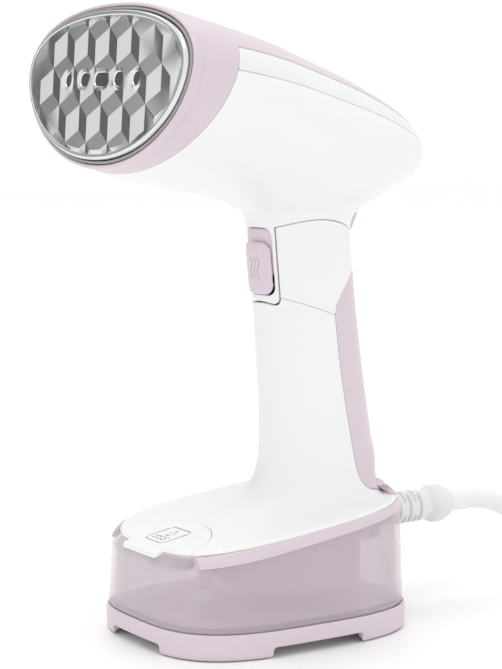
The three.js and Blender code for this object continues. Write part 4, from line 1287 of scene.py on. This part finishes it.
    def pins(self, stage: Stage, finishes: Finishes) -> list[bpy.types.Object]:
        """Two round pins with insulated roots."""
        made = []
        for i, side in enumerate((-1, 1)):
            profile = rounded_profile([(2.4, 0.3), (2.4, 9), (2.38, 9.1), (2.38, 18), (1.2, 19.3)], 0.8)
            pin = turned(profile, 32)
            spot = np.stack([self.plug_x + side * 9.5 + pin.points[:, 0],
                             self.plug_start - self.plug_length - pin.points[:, 2],
                             self.plug_radius + pin.points[:, 1]], 1)
            skin = skin_of(spot, pin.faces[:, ::-1])
            made.append(stage.add(f"contact_pin_{i + 1}", skin, "base", "steel", finishes["steel"],
                                  [f"plug_pin_{i + 1}"]))
        return made

    def relief(self, stage: Stage, finishes: Finishes) -> None:
        """Tapered sleeve with staggered slits, which ends in a bulb."""
        knots = rounded_profile([(5.6, 49.8), (5.6, 53.6), (6.5, 54.2), (6.4, 60), (6.2, 77.2), (5.5, 78.4),
                                 (5.5, 80.2),
                                 (7.4, 83), (7.5, 87), (6, 90.6), (5.1, 92)], 0.9)
        dense = [(r, y) for r, y in knots if y < 55 or y > 77.5]
        body = [(np.interp(y, [54.2, 77.2], [6.45, 6.2]), y) for y in np.arange(55, 77.6, 0.4)]
        profile = sorted(dense + body, key=lambda step: step[1])

        def slit(angle: Array, height: Array, radius: Array) -> Array:
            """Cuts half rings into the sleeve, above and below in turn."""
            place = (height - 56.5) / 2.6
            row = np.round(place)
            inside = (row >= 0) & (row <= 7)
            near = np.clip((0.65 - np.abs(place - row) * 2.6) / 0.2, 0, 1)
            turn = angle + np.where(row % 2 == 0, 0, math.pi / 2)
            width = np.clip((np.abs(np.sin(turn)) - 0.42) / 0.12, 0, 1)
            return radius - 1.5 * near * width * inside

        sleeve = turned(profile, 96, slit)
        spot = np.stack([sleeve.points[:, 0], sleeve.points[:, 2], self.axis_z + sleeve.points[:, 1]], 1)
        skin = skin_of(spot, sleeve.faces[:, ::-1])
        stage.add("cord_sleeve", skin, "base", "cord_plastic", finishes["soft"], ["strain_relief"])


# ---------------------------------------------------------------- steam head
@dataclass
class SteamHead:
    """Cowl, trims and white shell of the head and neck."""

    head: HeadForm
    grip: GripForm
    wall: float = 2.0
    lip_wall: float = 0.65
    blend: float = 7.0
    window: tuple[float, float, float, float] = (7.9, 12.5, 137.2, 3.2)
    mesh_step: float = 0.9
    tail_cut: float = 72.0

    def form(self, p: Array) -> Array:
        """Distance to the head and neck together."""
        return smooth_min(self.head.distance(p), self.grip.distance(p), self.blend)

    def make(self, stage: Stage, finishes: Finishes, latch: "FoldLatch") -> None:
        """Builds the covers of the head."""
        self.cowl(stage, finishes)
        self.trims(stage, finishes)
        self.cover(stage, finishes, latch)

    def cowl(self, stage: Stage, finishes: Finishes) -> None:
        """Pink front cowl with the lip round the plate."""
        short = SEAM / 2 + EDGE
        skin = clipped(self.head.surface(), lambda p: np.maximum(
            self.head.ahead_of_edge(p), self.head.above(self.head.trim_upper, p)) - short)
        depth = (skin.points - self.head.middle) @ self.head.ahead
        wall = np.clip((-3.2 - depth) / 3, 0, 1) * (self.wall - self.lip_wall) + self.lip_wall
        stage.add("head_cowl", shell(skin, wall), "head", "blush_plastic", finishes["blush"], ["front_cowl"])

    def trims(self, stage: Stage, finishes: Finishes) -> None:
        """Pearl strips between the cowl and the white shell."""
        head, short = self.head, SEAM / 2 + EDGE
        surface = head.surface()
        for name, side in (("left", -1), ("right", 1)):
            strip = clipped(surface, lambda p: -head.ahead_of_edge(p) - short,
                            lambda p: self.tail_cut - p[:, 1],
                            lambda p, side=side: side * p[:, 0] - 1,
                            lambda p: -head.above(head.trim_upper, p) - short,
                            lambda p: head.above(head.trim_lower, p) - short)
            stage.add(f"pearl_strip_{name}", shell(strip, self.wall), "head", "trim", finishes["trim"],
                      [f"side_trim_{name}"])

    def cover(self, stage: Stage, finishes: Finishes, latch: "FoldLatch") -> None:
        """White shell of the head and neck, in one piece with the tongue over the folding joint."""
        head, grip, short = self.head, self.grip, SEAM / 2 + EDGE
        half_x, half_z, mid_z, corner = self.window

        def window(p: Array) -> Array:
            """Distance outside the trigger's window."""
            away = -rounded_box(p[:, 0], p[:, 2] - mid_z, half_x, half_z, corner)
            return np.where(p[:, 1] < grip.arch_y, away, 9) - EDGE

        def above_fold(p: Array) -> Array:
            """Distance above the folding joint, or inside the tongue."""
            return np.maximum(grip.above_arch(p), in_tongue(grip, p, GAP / 2)) - GAP / 2 - EDGE

        skin = meshed(self.form, np.array([-60.0, -64, 118]), np.array([60.0, 80, 214]), self.mesh_step)
        log.info("head shell: %d triangles before clipping", len(skin.faces))
        skin = clipped(skin, lambda p: -head.ahead_of_edge(p) - short,
                       lambda p: -head.above(head.trim_lower, p) - short, window,
                       lambda p: latch.outside_pocket(p) - EDGE, above_fold)
        stage.add("head_cover", shell(skin, self.wall), "head", "white_plastic", finishes["white"],
                  ["head_shell_left", "head_shell_right"])


@dataclass
class SteamPlate:
    """Polished plate with a relief of tumbling blocks and five steam slots."""

    head: HeadForm
    proud: float = 2.0
    back: float = -1.0
    block_edge: float = 8.95
    block_start: tuple[float, float] = (2.3, 2.1)
    relief: float = 0.75
    fade: tuple[float, float] = (1.9, 3.4)
    slots: tuple[tuple[float, float], ...] = ((-24.4, 4.2), (-12.2, 6), (0, 9.4), (12.2, 6), (24.4, 4.2))
    slot_height: float = 4.5
    slot_rise: float = 2.0
    bevel: float = 0.6

    def lattice(self, flat: Array) -> Array:
        """Height of the relief at places on the plate."""
        edge = self.block_edge
        pitch_u, pitch_v = edge * math.sqrt(3), 1.5 * edge
        offset = flat - self.block_start
        best = None
        row0 = np.round(offset[:, 1] / pitch_v)
        for step in (-1, 0, 1):
            row = row0 + step
            shift = (row % 2) * pitch_u / 2
            column = np.round((offset[:, 0] - shift) / pitch_u)
            away = offset - np.stack([column * pitch_u + shift, row * pitch_v], 1)
            size = np.hypot(*away.T)
            if best is None:
                best, near = size, away
            else:
                closer = size < best
                best, near = np.where(closer, size, best), np.where(closer[:, None], away, near)
        turns_out = [math.pi / 2 + 2 * math.pi * k / 3 for k in range(3)]
        along = np.max([near @ (math.cos(a), math.sin(a)) for a in turns_out], 0)
        return self.relief * (1 - 2 * along / edge)

    def edges(self) -> tuple[Array, list[tuple[int, int]]]:
        """Corners and creases of the relief, over and beyond the plate."""
        edge = self.block_edge
        pitch_u, pitch_v = edge * math.sqrt(3), 1.5 * edge
        spots: dict[tuple[int, int], int] = {}
        places: list[tuple[float, float]] = []
        creases = set()

        def number(u: float, v: float) -> int:
            """Number of the corner at a place."""
            key = (round(u * 100), round(v * 100))
            for near in ((0, 0), (1, 0), (-1, 0), (0, 1), (0, -1)):
                if (key[0] + near[0], key[1] + near[1]) in spots:
                    return spots[(key[0] + near[0], key[1] + near[1])]
            spots[key] = len(places)
            places.append((u, v))
            return spots[key]

        for row in range(-3, 4):
            for column in range(-5, 6):
                u = self.block_start[0] + (column + (row % 2) / 2) * pitch_u
                v = self.block_start[1] + row * pitch_v
                ring = [number(u + edge * math.cos(math.radians(30 + 60 * k)),
                               v + edge * math.sin(math.radians(30 + 60 * k)))
                        for k in range(6)]
                centre = number(u, v)
                creases.update((min(a, b), max(a, b)) for a, b in zip(ring, ring[1:] + ring[:1]))
                creases.update((min(centre, ring[k]), max(centre, ring[k])) for k in (0, 2, 4))
        return np.array(places), sorted(creases)

    def slot_outline(self, place: float, width: float, grow: float, per: int = 8) -> Array:
        """Rounded outline of a steam slot."""
        radius = min(width, self.slot_height) / 2 * 0.92 + grow
        cx, cy = width / 2 + grow - radius, self.slot_height / 2 + grow - radius
        bows = []
        for k, (sx, sy) in enumerate(((1, 1), (-1, 1), (-1, -1), (1, -1))):
            turn = math.pi / 2 * (k + np.linspace(0, 1, per))
            bows.append(np.stack([place + sx * cx + radius * np.cos(turn),
                                  self.slot_rise + sy * cy + radius * np.sin(turn)], 1))
        return np.concatenate(bows)

    def field(self) -> tuple[Array, Array]:
        """Triangles of the plate's face between its rim and the chamfers of its slots."""
        head = self.head
        angles = even_turns(head.plate_half_width, head.plate_half_height, head.roundness, 200)
        corners, creases = self.edges()
        loops = [head.egg(-self.fade[0], angles), head.egg(-self.fade[1], angles)]
        holes = [self.slot_outline(place, width, self.bevel) for place, width in self.slots]
        loops += holes + [self.slot_outline(place, width, self.bevel + 1.1) for place, width in self.slots]
        points, edges = [corners], list(creases)
        count = len(corners)
        for loop in loops:
            ring = range(count, count + len(loop))
            edges += list(zip(ring, [*ring[1:], ring[0]]))
            points.append(loop)
            count += len(loop)
        flat = [Vector(p) for p in np.concatenate(points)]
        places, _, faces, *_ = delaunay_2d_cdt(flat, edges, [], 0, 1e-4)
        places, faces = np.array(places), np.array(faces)
        middle = places[faces].mean(1)
        keep = self.within(middle, -self.fade[0])
        for place, width in self.slots:
            keep &= self.off_slot(middle, place, width) > self.bevel
        faces = faces[keep]
        used = np.unique(faces)
        number = np.zeros(len(places), int)
        number[used] = np.arange(len(used))
        return places[used], number[faces]

    def within(self, flat: Array, grow: float) -> Array:
        """Whether places lie inside the plate's outline, grown."""
        head = self.head
        v = flat[:, 1] / (head.plate_half_height + grow)
        u = flat[:, 0] / ((head.plate_half_width + grow) * (1 + head.plate_egg * v))
        return np.abs(u) ** head.roundness + np.abs(v) ** head.roundness < 1

    def off_slot(self, flat: Array, place: float, width: float) -> Array:
        """Distance outside a slot."""
        return -rounded_box(flat[:, 0] - place, flat[:, 1] - self.slot_rise, width / 2, self.slot_height / 2,
                            min(width, self.slot_height) / 2 * 0.92)

    def height(self, flat: Array) -> Array:
        """Height of the face, with the relief faded out at the rim and round the slots."""
        head = self.head
        s = flat[:, 1] / head.plate_half_height
        q = (np.abs(flat[:, 0] / (head.plate_half_width * (1 + head.plate_egg * s))) ** head.roundness
             + np.abs(s) ** head.roundness) ** (1 / head.roundness)
        rim = (1 - q) * head.plate_half_height
        share = np.clip((rim - self.fade[0] * 0.95) / (self.fade[1] - self.fade[0]), 0, 1)
        for place, width in self.slots:
            share = share * np.clip((self.off_slot(flat, place, width) - self.bevel) / 1.1, 0, 1)
        return self.proud + share * self.lattice(flat) - (1 - share) * 0.1

    def make(self, stage: Stage, finishes: Finishes) -> None:
        """Builds the plate, its gasket and the dark floors behind its slots, which are painted shade inside the
        slots.
        """
        head = self.head
        flat, faces = self.field()
        front = Skin(head.on_plate(flat, self.height(flat)), faces, np.tile(head.ahead, (len(flat), 1)))
        if np.sum(point_normals(front.points, faces) @ head.ahead) < 0:
            front = flipped(front)
        rear = Skin(head.on_plate(flat, np.full(len(flat), self.back)), front.faces[:, ::-1], -front.normals)
        angles = even_turns(head.plate_half_width, head.plate_half_height, head.roundness, 200)
        rim = [(-self.fade[0], self.proud - 0.1), (-1.5, self.proud + 0.12), (-1.0, self.proud + 0.14),
               (-0.5, self.proud - 0.05), (-0.15, self.proud - 0.45), (0, self.proud - 1.0), (0, self.back),
               (-self.fade[0], self.back)]
        parts = [front, rear, lofted(np.array([head.on_plate(head.egg(g, angles), d) for g, d in rim]))]
        for place, width in self.slots:
            steps = [(self.bevel, self.proud - 0.1), (self.bevel - 0.15, self.proud - 0.12),
                     (0.12, self.proud - 0.42),
                     (0, self.proud - 0.6), (0, self.back), (self.bevel, self.back)]
            wall = lofted(np.array([head.on_plate(self.slot_outline(place, width, g), d) for g, d in steps]))
            parts.append(flipped(wall))
        stage.add("relief_plate", joined(*parts), "head", "plate", finishes["plate"], ["steam_plate"], 12)
        ring = [(0.2, -1.4), (0.25, 0.2), (0.5, 0.6), (0.95, 0.6), (1.2, 0.2), (1.25, -1.4), (0.2, -1.4)]
        stage.add("plate_seal", lofted(np.array([head.on_plate(head.egg(g, angles), d) for g, d in ring])),
                  "head",
                  "silicone", finishes["silicone"], ["plate_gasket"], 60)
        # Dark plastic floors a little behind each slot: painted shade, standing in for the shadow inside the
        # slots.
        shade_floors = []
        for place, width in self.slots:
            outline = self.slot_outline(place, width, -0.02)
            rings = np.array([head.on_plate(place_shrunk(outline, share), d) for share, d in
                              ((0.02, 0.2), (1, 0.2), (1, 1.1), (0.02, 0.9))])
            shade_floors.append(lofted(rings))
        stage.add("slot_shade_floors", joined(*shade_floors), "head", "cast_metal", finishes["dark"])


def place_shrunk(outline: Array, share: float) -> Array:
    """An outline drawn towards its middle."""
    middle = outline.mean(0)
    return middle + share * (outline - middle)


# ---------------------------------------------------------------- controls on the neck
@dataclass
class FoldLatch:
    """Ribbed latch in a pocket at the back of the neck."""

    form: Callable[[Array], Array]
    z: float = 151.8
    half_width: float = 6.5
    half_height: float = 4.0
    thickness: float = 2.3
    sunk: float = 0.9
    travel: float = 2.0
    ribs: int = 5
    rib: float = 0.45

    def __post_init__(self) -> None:
        """Finds the slope of the skin at the latch."""
        y0, y1 = (self.back(self.z + d) for d in (-3, 3))
        self.lean = math.atan2(y1 - y0, 6)
        self.y = self.back(self.z)

    def back(self, z: float) -> float:
        """Y of the rear skin at a height."""
        y = np.linspace(30, 70, 801)
        away = self.form(np.stack([np.zeros(801), y, np.full(801, float(z))], 1))
        return float(y[np.flatnonzero(away < 0)[-1]])

    def local(self, p: Array) -> Array:
        """Places as sideways, outward and upward from the latch's middle."""
        dy, dz = p[:, 1] - self.y, p[:, 2] - self.z
        c, s = math.cos(self.lean), math.sin(self.lean)
        return np.stack([p[:, 0], c * dy - s * dz, s * dy + c * dz], 1)

    def outside_pocket(self, p: Array) -> Array:
        """Distance outside the pocket's outline, at the back of the neck only."""
        q = self.local(p)
        away = -rounded_box(q[:, 0], q[:, 2] - self.travel / 2, self.half_width + GAP,
                            self.half_height + self.travel / 2 + GAP, 1.2)
        return np.where(q[:, 1] > -9, away, 9)

    def place(self, u: Array, v: Array, height: Array) -> Array:
        """A point over the latch's base."""
        c, s = math.cos(self.lean), math.sin(self.lean)
        return np.stack([u, self.y + c * height + s * v, self.z - s * height + c * v], 1)

    def make(self, stage: Stage, finishes: Finishes) -> None:
        """Builds the latch and the floor of its pocket."""
        face = self.thickness - self.sunk
        profile = [(0.5, -self.sunk), (0.1, -self.sunk + 0.25), (0, 0), (0.1, face - 0.3), (0.45, face)]
        parts = [pad((self.half_width, self.half_height), 1.2, profile, self.place)]
        pitch = 2 * self.half_height / (self.ribs + 0.6)
        for i in range(self.ribs):
            rise = -self.half_height + (i + 0.8) * pitch
            parts.append(pad((self.half_width - 0.9, pitch * 0.27), 0.3, [
                (0, face - 0.3), (0, face + 0.25 * self.rib), (0.12, face + self.rib)],
                lambda u, v, h, rise=rise: self.place(u, v + rise, h), 4))
        stage.add("ribbed_latch", joined(*parts), "latch", "trigger_plastic", finishes["blush_deep"],
                  ["fold_latch"])
        floor = pad((self.half_width + 1.4, self.half_height + 2.4), 1.4,
                    [(0, -2.4), (0, -1.3), (0.05, -1.2)], self.place)
        stage.add("latch_pocket", floor, "head", "white_plastic", finishes["white"])


@dataclass
class Controls:
    """Steam trigger and its lock slider, on the front of the neck."""

    grip: GripForm
    half_width: float = 7.6
    trigger: tuple[float, float] = (131.6, 149.4)
    trigger_sunk: float = 0.7
    trigger_thickness: float = 1.7
    lock: tuple[float, float] = (125.0, 144.4)
    lock_proud: float = 1.6
    corner: float = 3.6
    mark_width: float = 0.34
    mark_pitch: float = 2.3
    mark_length: float = 8.0

    def on_front(self, middle: float) -> Callable[[Array, Array, Array], Array]:
        """Places plan points over the front skin, about a height."""
        def place(u: Array, v: Array, height: Array) -> Array:
            """One set of points."""
            z = middle + v
            return np.stack([u, self.grip.front(z, u) - height, z], 1)
        return place

    def make(self, stage: Stage, finishes: Finishes) -> None:
        """Builds the trigger, the slider and its mark."""
        bottom, top = self.trigger
        sunk, under = self.trigger_sunk, self.trigger_sunk + self.trigger_thickness
        stage.add("steam_trigger", pad((self.half_width, (top - bottom) / 2), self.corner, [
            (0.3, -under), (0, -under + 0.3), (0, -sunk - 0.45), (0.15, -sunk - 0.15), (0.5, -sunk)],
            self.on_front((top + bottom) / 2)), "trigger", "trigger_plastic", finishes["control"],
            ["trigger"])
        bottom, top = self.lock
        middle, face = (top + bottom) / 2, self.lock_proud
        stage.add("steam_lock", pad((self.half_width, (top - bottom) / 2), self.corner, [
            (0.75, -sunk + GAP), (0.6, -sunk + GAP + 0.15), (0.1, 0.35), (0, 0.6), (0, face - 0.9),
            (0.12, face - 0.65), (0.4, face - 0.28), (0.85, face - 0.07), (1.5, face)],
            self.on_front(middle)), "lock", "trigger_plastic", finishes["control"], ["lock_slider"])
        place = self.on_front(middle)
        lines = []
        for column in (-1, 0, 1):
            v = np.linspace(-self.mark_length / 2, self.mark_length / 2, 33)
            u = column * self.mark_pitch + 0.75 * np.sin(v / self.mark_length * 2 * math.pi * 1.1)
            lines.append(ribbon(np.stack([u, v], 1), self.mark_width, face + 0.04,
                                lambda a, b, h: place(a, b, np.where(h < 0, face - 0.1, h))))
        stage.add("steam_mark", joined(*lines), "lock", "rubber", finishes["mark"])


# ---------------------------------------------------------------- handle
@dataclass
class Handle:
    """White handle that flows into the cover of the base, with its rear strip and the joint's collar."""

    grip: GripForm
    base: BaseForm
    wall: float = 2.0
    collar_wall: float = 0.8
    top: float = 154.0

    def make(self, stage: Stage, finishes: Finishes) -> None:
        """Builds the three covers."""
        grip, base, short = self.grip, self.base, SEAM / 2 + EDGE
        surface = base.cover(grip, self.top)

        def off_cap(p: Array) -> Array:
            """Distance outside the filler cap."""
            away = np.hypot(p[:, 0], p[:, 1] - base.cap_y) - base.cap_radius
            return np.where(p[:, 2] < 60, away, 9) - short

        mouth = lambda p: grip.outside_mouth(p, GAP / 2) - GAP / 2 - EDGE
        over = lambda p: grip.above_collar(p) - EDGE - SEAM / 4
        under = lambda p: -grip.above_collar(p) - EDGE - SEAM / 4
        behind = lambda p: grip.behind_rear_edge(p) - short
        before = lambda p: -grip.behind_rear_edge(p) - short
        arch = lambda p: -grip.above_arch(p) - GAP / 2 - EDGE
        for name, edges, wall, slot, finish, node in (
                ("handle_front", (under, before, off_cap, mouth), self.wall, "white_plastic", "white",
                 "handle_shell"),
                ("handle_rear", (under, behind), self.wall, "blush_plastic", "blush", "handle_rear_cover"),
                ("fold_collar", (over, arch, mouth), self.collar_wall, "white_plastic", "white",
                 "hinge_collar")):
            stage.add(name, shell(clipped(surface, *edges), wall), "base", slot, finishes[finish], [node])


# ---------------------------------------------------------------- base
@dataclass
class BaseCovers:
    """Foot ring, clear tank, band and filler cap."""

    grip: GripForm
    base: BaseForm
    foot_wall: float = 3.0
    foot_cut: float = 3.8
    cut_front: float = 16.8
    cut_side: float = 19.6
    tank_wall: float = 1.8
    cap_wall: float = 2.0
    tab_half: float = 12.0
    tab_tip: float = -50.2
    tab_root: float = -44.6
    tab_drop: float = 1.6
    mark_y: float = -37.5
    mark_half: float = 6.4

    def make(self, stage: Stage, finishes: Finishes) -> None:
        """Builds the pieces of the base."""
        self.foot(stage, finishes)
        self.tank(stage, finishes)
        self.band(stage, finishes)
        self.cap(stage, finishes)

    def foot(self, stage: Stage, finishes: Finishes) -> None:
        """Foot ring with low cut-outs on its four sides."""
        base = self.base
        steps = [(0.75, 0.35), (0.35, 0.75), (0.1, 1.3),
                 (0, 2.0)] + [(0, z) for z in np.linspace(2.6, 8.6, 11)]
        steps += [(0.1, base.foot_height - 0.35), (0.45, base.foot_height)]
        surface = lofted(np.array([base.ring(inset, z) for inset, z in steps]))

        def inside(p: Array) -> Array:
            """Distance above the cut-outs and outside them."""
            front = rounded_box(p[:, 0], p[:, 2], self.cut_front, self.foot_cut, 1.5)
            side = rounded_box(p[:, 1], p[:, 2], self.cut_side, self.foot_cut, 1.5)
            front = np.where(np.abs(p[:, 1]) > 30, front, -9)
            side = np.where(np.abs(p[:, 0]) > 30, side, -9)
            return np.minimum(-np.maximum(front, side), p[:, 2]) - EDGE

        stage.add("foot_skirt", shell(clipped(surface, inside), self.foot_wall), "base", "blush_plastic",
                  finishes["blush"], ["foot_ring"])

    def tank(self, stage: Stage, finishes: Finishes) -> None:
        """Clear tank wall, up to the band and over the nose, with its floor."""
        base = self.base
        bottom = base.foot_height + SEAM

        def wall(share: float) -> Array:
            """One ring of the wall, from the foot ring to the band."""
            flat = base.outline(0.8 + 1.0 * share)
            top = base.band(flat[:, 1]) - SEAM
            return np.column_stack([flat, bottom + (top - bottom) * share])

        rings = [base.ring(4.0, bottom + 0.2), base.ring(1.3, bottom), base.ring(0.95, bottom + 0.25)]
        rings += [wall(s) for s in np.linspace(0.03, 1, 26)]
        low = rings[-1]
        high = base.ring(base.rim_inset + 0.3, lambda y: base.rim(y) - SEAM, base.rim_nose_inset + 0.3)
        nose = low[:, 1] < base.band_start - SEAM
        for share in (0.25, 0.5, 0.75, 0.92, 1):
            bow = low * (1 - share) + high * share
            bow[:, :2] += (low[:, :2] - high[:, :2]) * 0.5 * share * (1 - share)
            rings.append(np.where(nose[:, None], bow, low + (0, 0, 0.001 * share)))
        outer = lofted(np.array(rings))
        inner = [base.ring(4.4, bottom + self.tank_wall), base.ring(2.6, bottom + self.tank_wall)]
        for share in np.linspace(0.1, 1, 12):
            flat = base.outline(2.6 + share)
            top = base.band(flat[:, 1]) - SEAM - 0.4
            inner.append(np.column_stack([flat,
                                          bottom + self.tank_wall + (top - bottom - self.tank_wall) * share]))
        cavity = flipped(lofted(np.array(inner)))
        stage.add("clear_tank", joined(self.capped(outer, len(rings)), self.capped(cavity, len(inner))),
                  "base", "tank",
                  finishes["tank"], ["tank"], 50)

    def capped(self, skin: Skin, rings: int) -> Skin:
        """Closes the lower end of a stack of rings."""
        size = self.base.points
        centre = len(skin.points)
        i = np.arange(size)
        j = (i + 1) % size
        floor = np.stack([np.full(size, centre), i, j], 1)
        near = skin.faces[np.any(skin.faces == 0, 1)][0]
        if any(near[k] == 0 and near[(k + 1) % 3] == 1 for k in range(3)):
            floor = floor[:, ::-1]
        return skin_of(np.concatenate([skin.points, skin.points[:size].mean(0, keepdims=True)]),
                       np.concatenate([skin.faces, floor]))

    def band(self, stage: Stage, finishes: Finishes) -> None:
        """Opaque band under the edge of the cover."""
        base = self.base
        rings = []
        for share in np.linspace(-0.12, 1.0, 16):
            inset = 1.3 + 0.25 * max(share, 0) + 1.45 * max(share, 0) ** 2.6
            rings.append(base.ring(inset, lambda y: base.band(y) + (base.rim(y) - SEAM - base.band(y)) *
                                   share))
        surface = lofted(np.array(rings))

        def inside(p: Array) -> Array:
            """Distance inside the band."""
            return np.minimum(np.minimum(p[:, 1] - base.band_start, p[:, 2] - base.band(p[:, 1])),
                              base.rim(p[:, 1]) - SEAM - p[:, 2]) - EDGE * 0.6

        stage.add("band", shell(clipped(surface, inside, snap=0.15), 1.6, EDGE * 0.6), "base",
                  "blush_plastic",
                  finishes["blush"], ["rim_band"])

    def cap(self, stage: Stage, finishes: Finishes) -> None:
        """Filler cap: the nose of the cover, with a lifting tab and a printed mark."""
        base = self.base
        surface = base.cover(self.grip, 70)

        def inside(p: Array) -> Array:
            """Distance inside the cap's circle."""
            away = base.cap_radius - np.hypot(p[:, 0], p[:, 1] - base.cap_y)
            return np.where(p[:, 2] < 60, away, -9) - SEAM / 2 - EDGE

        lid = shell(clipped(surface, inside), self.cap_wall)
        middle = (self.tab_tip + self.tab_root) / 2
        half = (self.tab_root - self.tab_tip) / 2
        edge = float(base.rim(np.array(self.tab_root)))

        def tongue(u: Array, v: Array, height: Array) -> Array:
            """Places the tab's points: it droops towards its tip."""
            run = (half - v) / (2 * half)
            return np.stack([u, middle + v, edge + 0.35 - self.tab_drop * run ** 1.3 + height], 1)

        tab = pad((self.tab_half, half), 1.6,
                  [(0.4, -1.7), (0.1, -1.45), (0, -1.1), (0, -0.45), (0.15, -0.15), (0.5, 0)], tongue)
        stage.add("nose_cap", joined(lid, tab), "cap", "white_plastic", finishes["white"], ["filler_cap"])
        self.mark(stage, finishes, surface)

    def mark(self, stage: Stage, finishes: Finishes, surface: Skin) -> None:
        """Printed fill mark: a rounded square with a drop and waves."""
        near = surface.points[(np.abs(surface.points[:, 0]) < 14) & (surface.points[:,
            1] < -20) & (surface.points[:, 2] < 60)]

        def place(u: Array, v: Array, height: Array) -> Array:
            """Places the mark's points on the cap."""
            y = self.mark_y + v
            z = []
            for a, b in zip(u, y):
                away = np.hypot(near[:, 0] - a, near[:, 1] - b) + 1e-6
                pick = np.argsort(away)[:4]
                weight = 1 / away[pick] ** 2
                z.append(np.sum(near[pick, 2] * weight) / np.sum(weight))
            return np.stack([u, y, np.array(z) + height], 1)

        half, corner = self.mark_half, 2.2
        box = []
        for k, (sx, sy) in enumerate(((1, 1), (-1, 1), (-1, -1), (1, -1))):
            turn = math.pi / 2 * (k + np.linspace(0, 1, 8))
            box.append(np.stack([sx * (half - corner) + corner * np.cos(turn),
                                 sy * (half - corner) + corner * np.sin(turn)], 1))
        lines = [ribbon(np.concatenate(box), 0.5, 0.05, place, True)]
        turn = np.linspace(0, 2 * math.pi, 29)[:-1]
        drop = np.stack([1.5 * np.sin(turn) * (1 - 0.45 * np.cos(turn)) * 0.9, 1.6 + 2.2 * np.cos(turn)], 1)
        lines.append(ribbon(drop, 0.45, 0.05, place, True))
        for rise in (-2.2, -4.0):
            u = np.linspace(-4.2, 4.2, 29)
            lines.append(ribbon(np.stack([u, rise + 0.45 * np.sin(u * 2.2)], 1), 0.45, 0.05, place))
        stage.add("fill_mark", joined(*lines), "cap", "rubber", finishes["mark"])


# ---------------------------------------------------------------- what stays as the frame has it
@dataclass
class Insides:
    """Finishes of the parts inside, whose shapes stay as they are."""

    finish_of: tuple[tuple[str, str], ...] = (
        ("heater_block", "cast"), ("chamber_cover", "cast"), ("heater_frame", "dark"),
        ("thermostat", "steel"),
        ("thermal_fuse", "soft"), ("steam_hose", "hose"), ("water_hose", "hose"), ("suction_tube", "hose"),
        ("trigger_switch", "dark"), ("switch_bracket", "soft"), ("trigger_spring", "steel"),
        ("latch_spring", "steel"),
        ("latch_keeper", "steel"), ("hinge_bracket", "steel"), ("hinge_pin", "steel"),
        ("wiring_loom", "dark"),
        ("base_plate", "soft"), ("rubber_foot_1", "rubber"), ("rubber_foot_2", "rubber"),
        ("rubber_foot_3", "rubber"),
        ("rubber_foot_4", "rubber"), ("base_screw_1", "steel"), ("base_screw_2", "steel"),
        ("filler_neck", "soft"),
        ("chassis", "inner"), ("chassis_lid", "soft"), ("terminal_block", "soft"), ("pump_body", "soft"),
        ("pump_coil", "copper"), ("pump_mount_1", "rubber"), ("pump_mount_2", "rubber"),
        ("pump_plunger", "steel"),
        ("inlet_filter", "soft"), ("cap_seal", "silicone"))

    def make(self, finishes: Finishes) -> None:
        """Gives each part its finish."""
        for node, finish in self.finish_of:
            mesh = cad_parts[node].data
            mesh.materials.clear()
            mesh.materials.append(finishes[finish])


# ---------------------------------------------------------------- the whole steamer
def main() -> None:
    """Builds the steamer round the frame."""
    logging.basicConfig(level=logging.INFO, format="%(message)s")
    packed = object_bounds()
    base, grip, head = BaseForm(), GripForm(), HeadForm()
    stage = Stage(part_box("foot_ring")[0].y / MM + base.front)
    finishes = Finishes()
    studio = Studio()
    studio.camera()
    MainsCord().make(stage, finishes)
    covers = SteamHead(head, grip)
    latch = FoldLatch(covers.form)
    covers.make(stage, finishes, latch)
    SteamPlate(head).make(stage, finishes)
    latch.make(stage, finishes)
    Controls(grip).make(stage, finishes)
    Handle(grip, base).make(stage, finishes)
    BaseCovers(grip, base).make(stage, finishes)
    Insides().make(finishes)
    studio.floor(Moulded("pale_floor", (0.995, 0.995, 0.995), 0.6, Grain.MATT, speck=40.0))
    studio.lights()
    bpy.context.view_layer.update()
    sizes = [[list(corner) for corner in box] for box in (packed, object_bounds())]


if __name__ == "__main__":
    main()
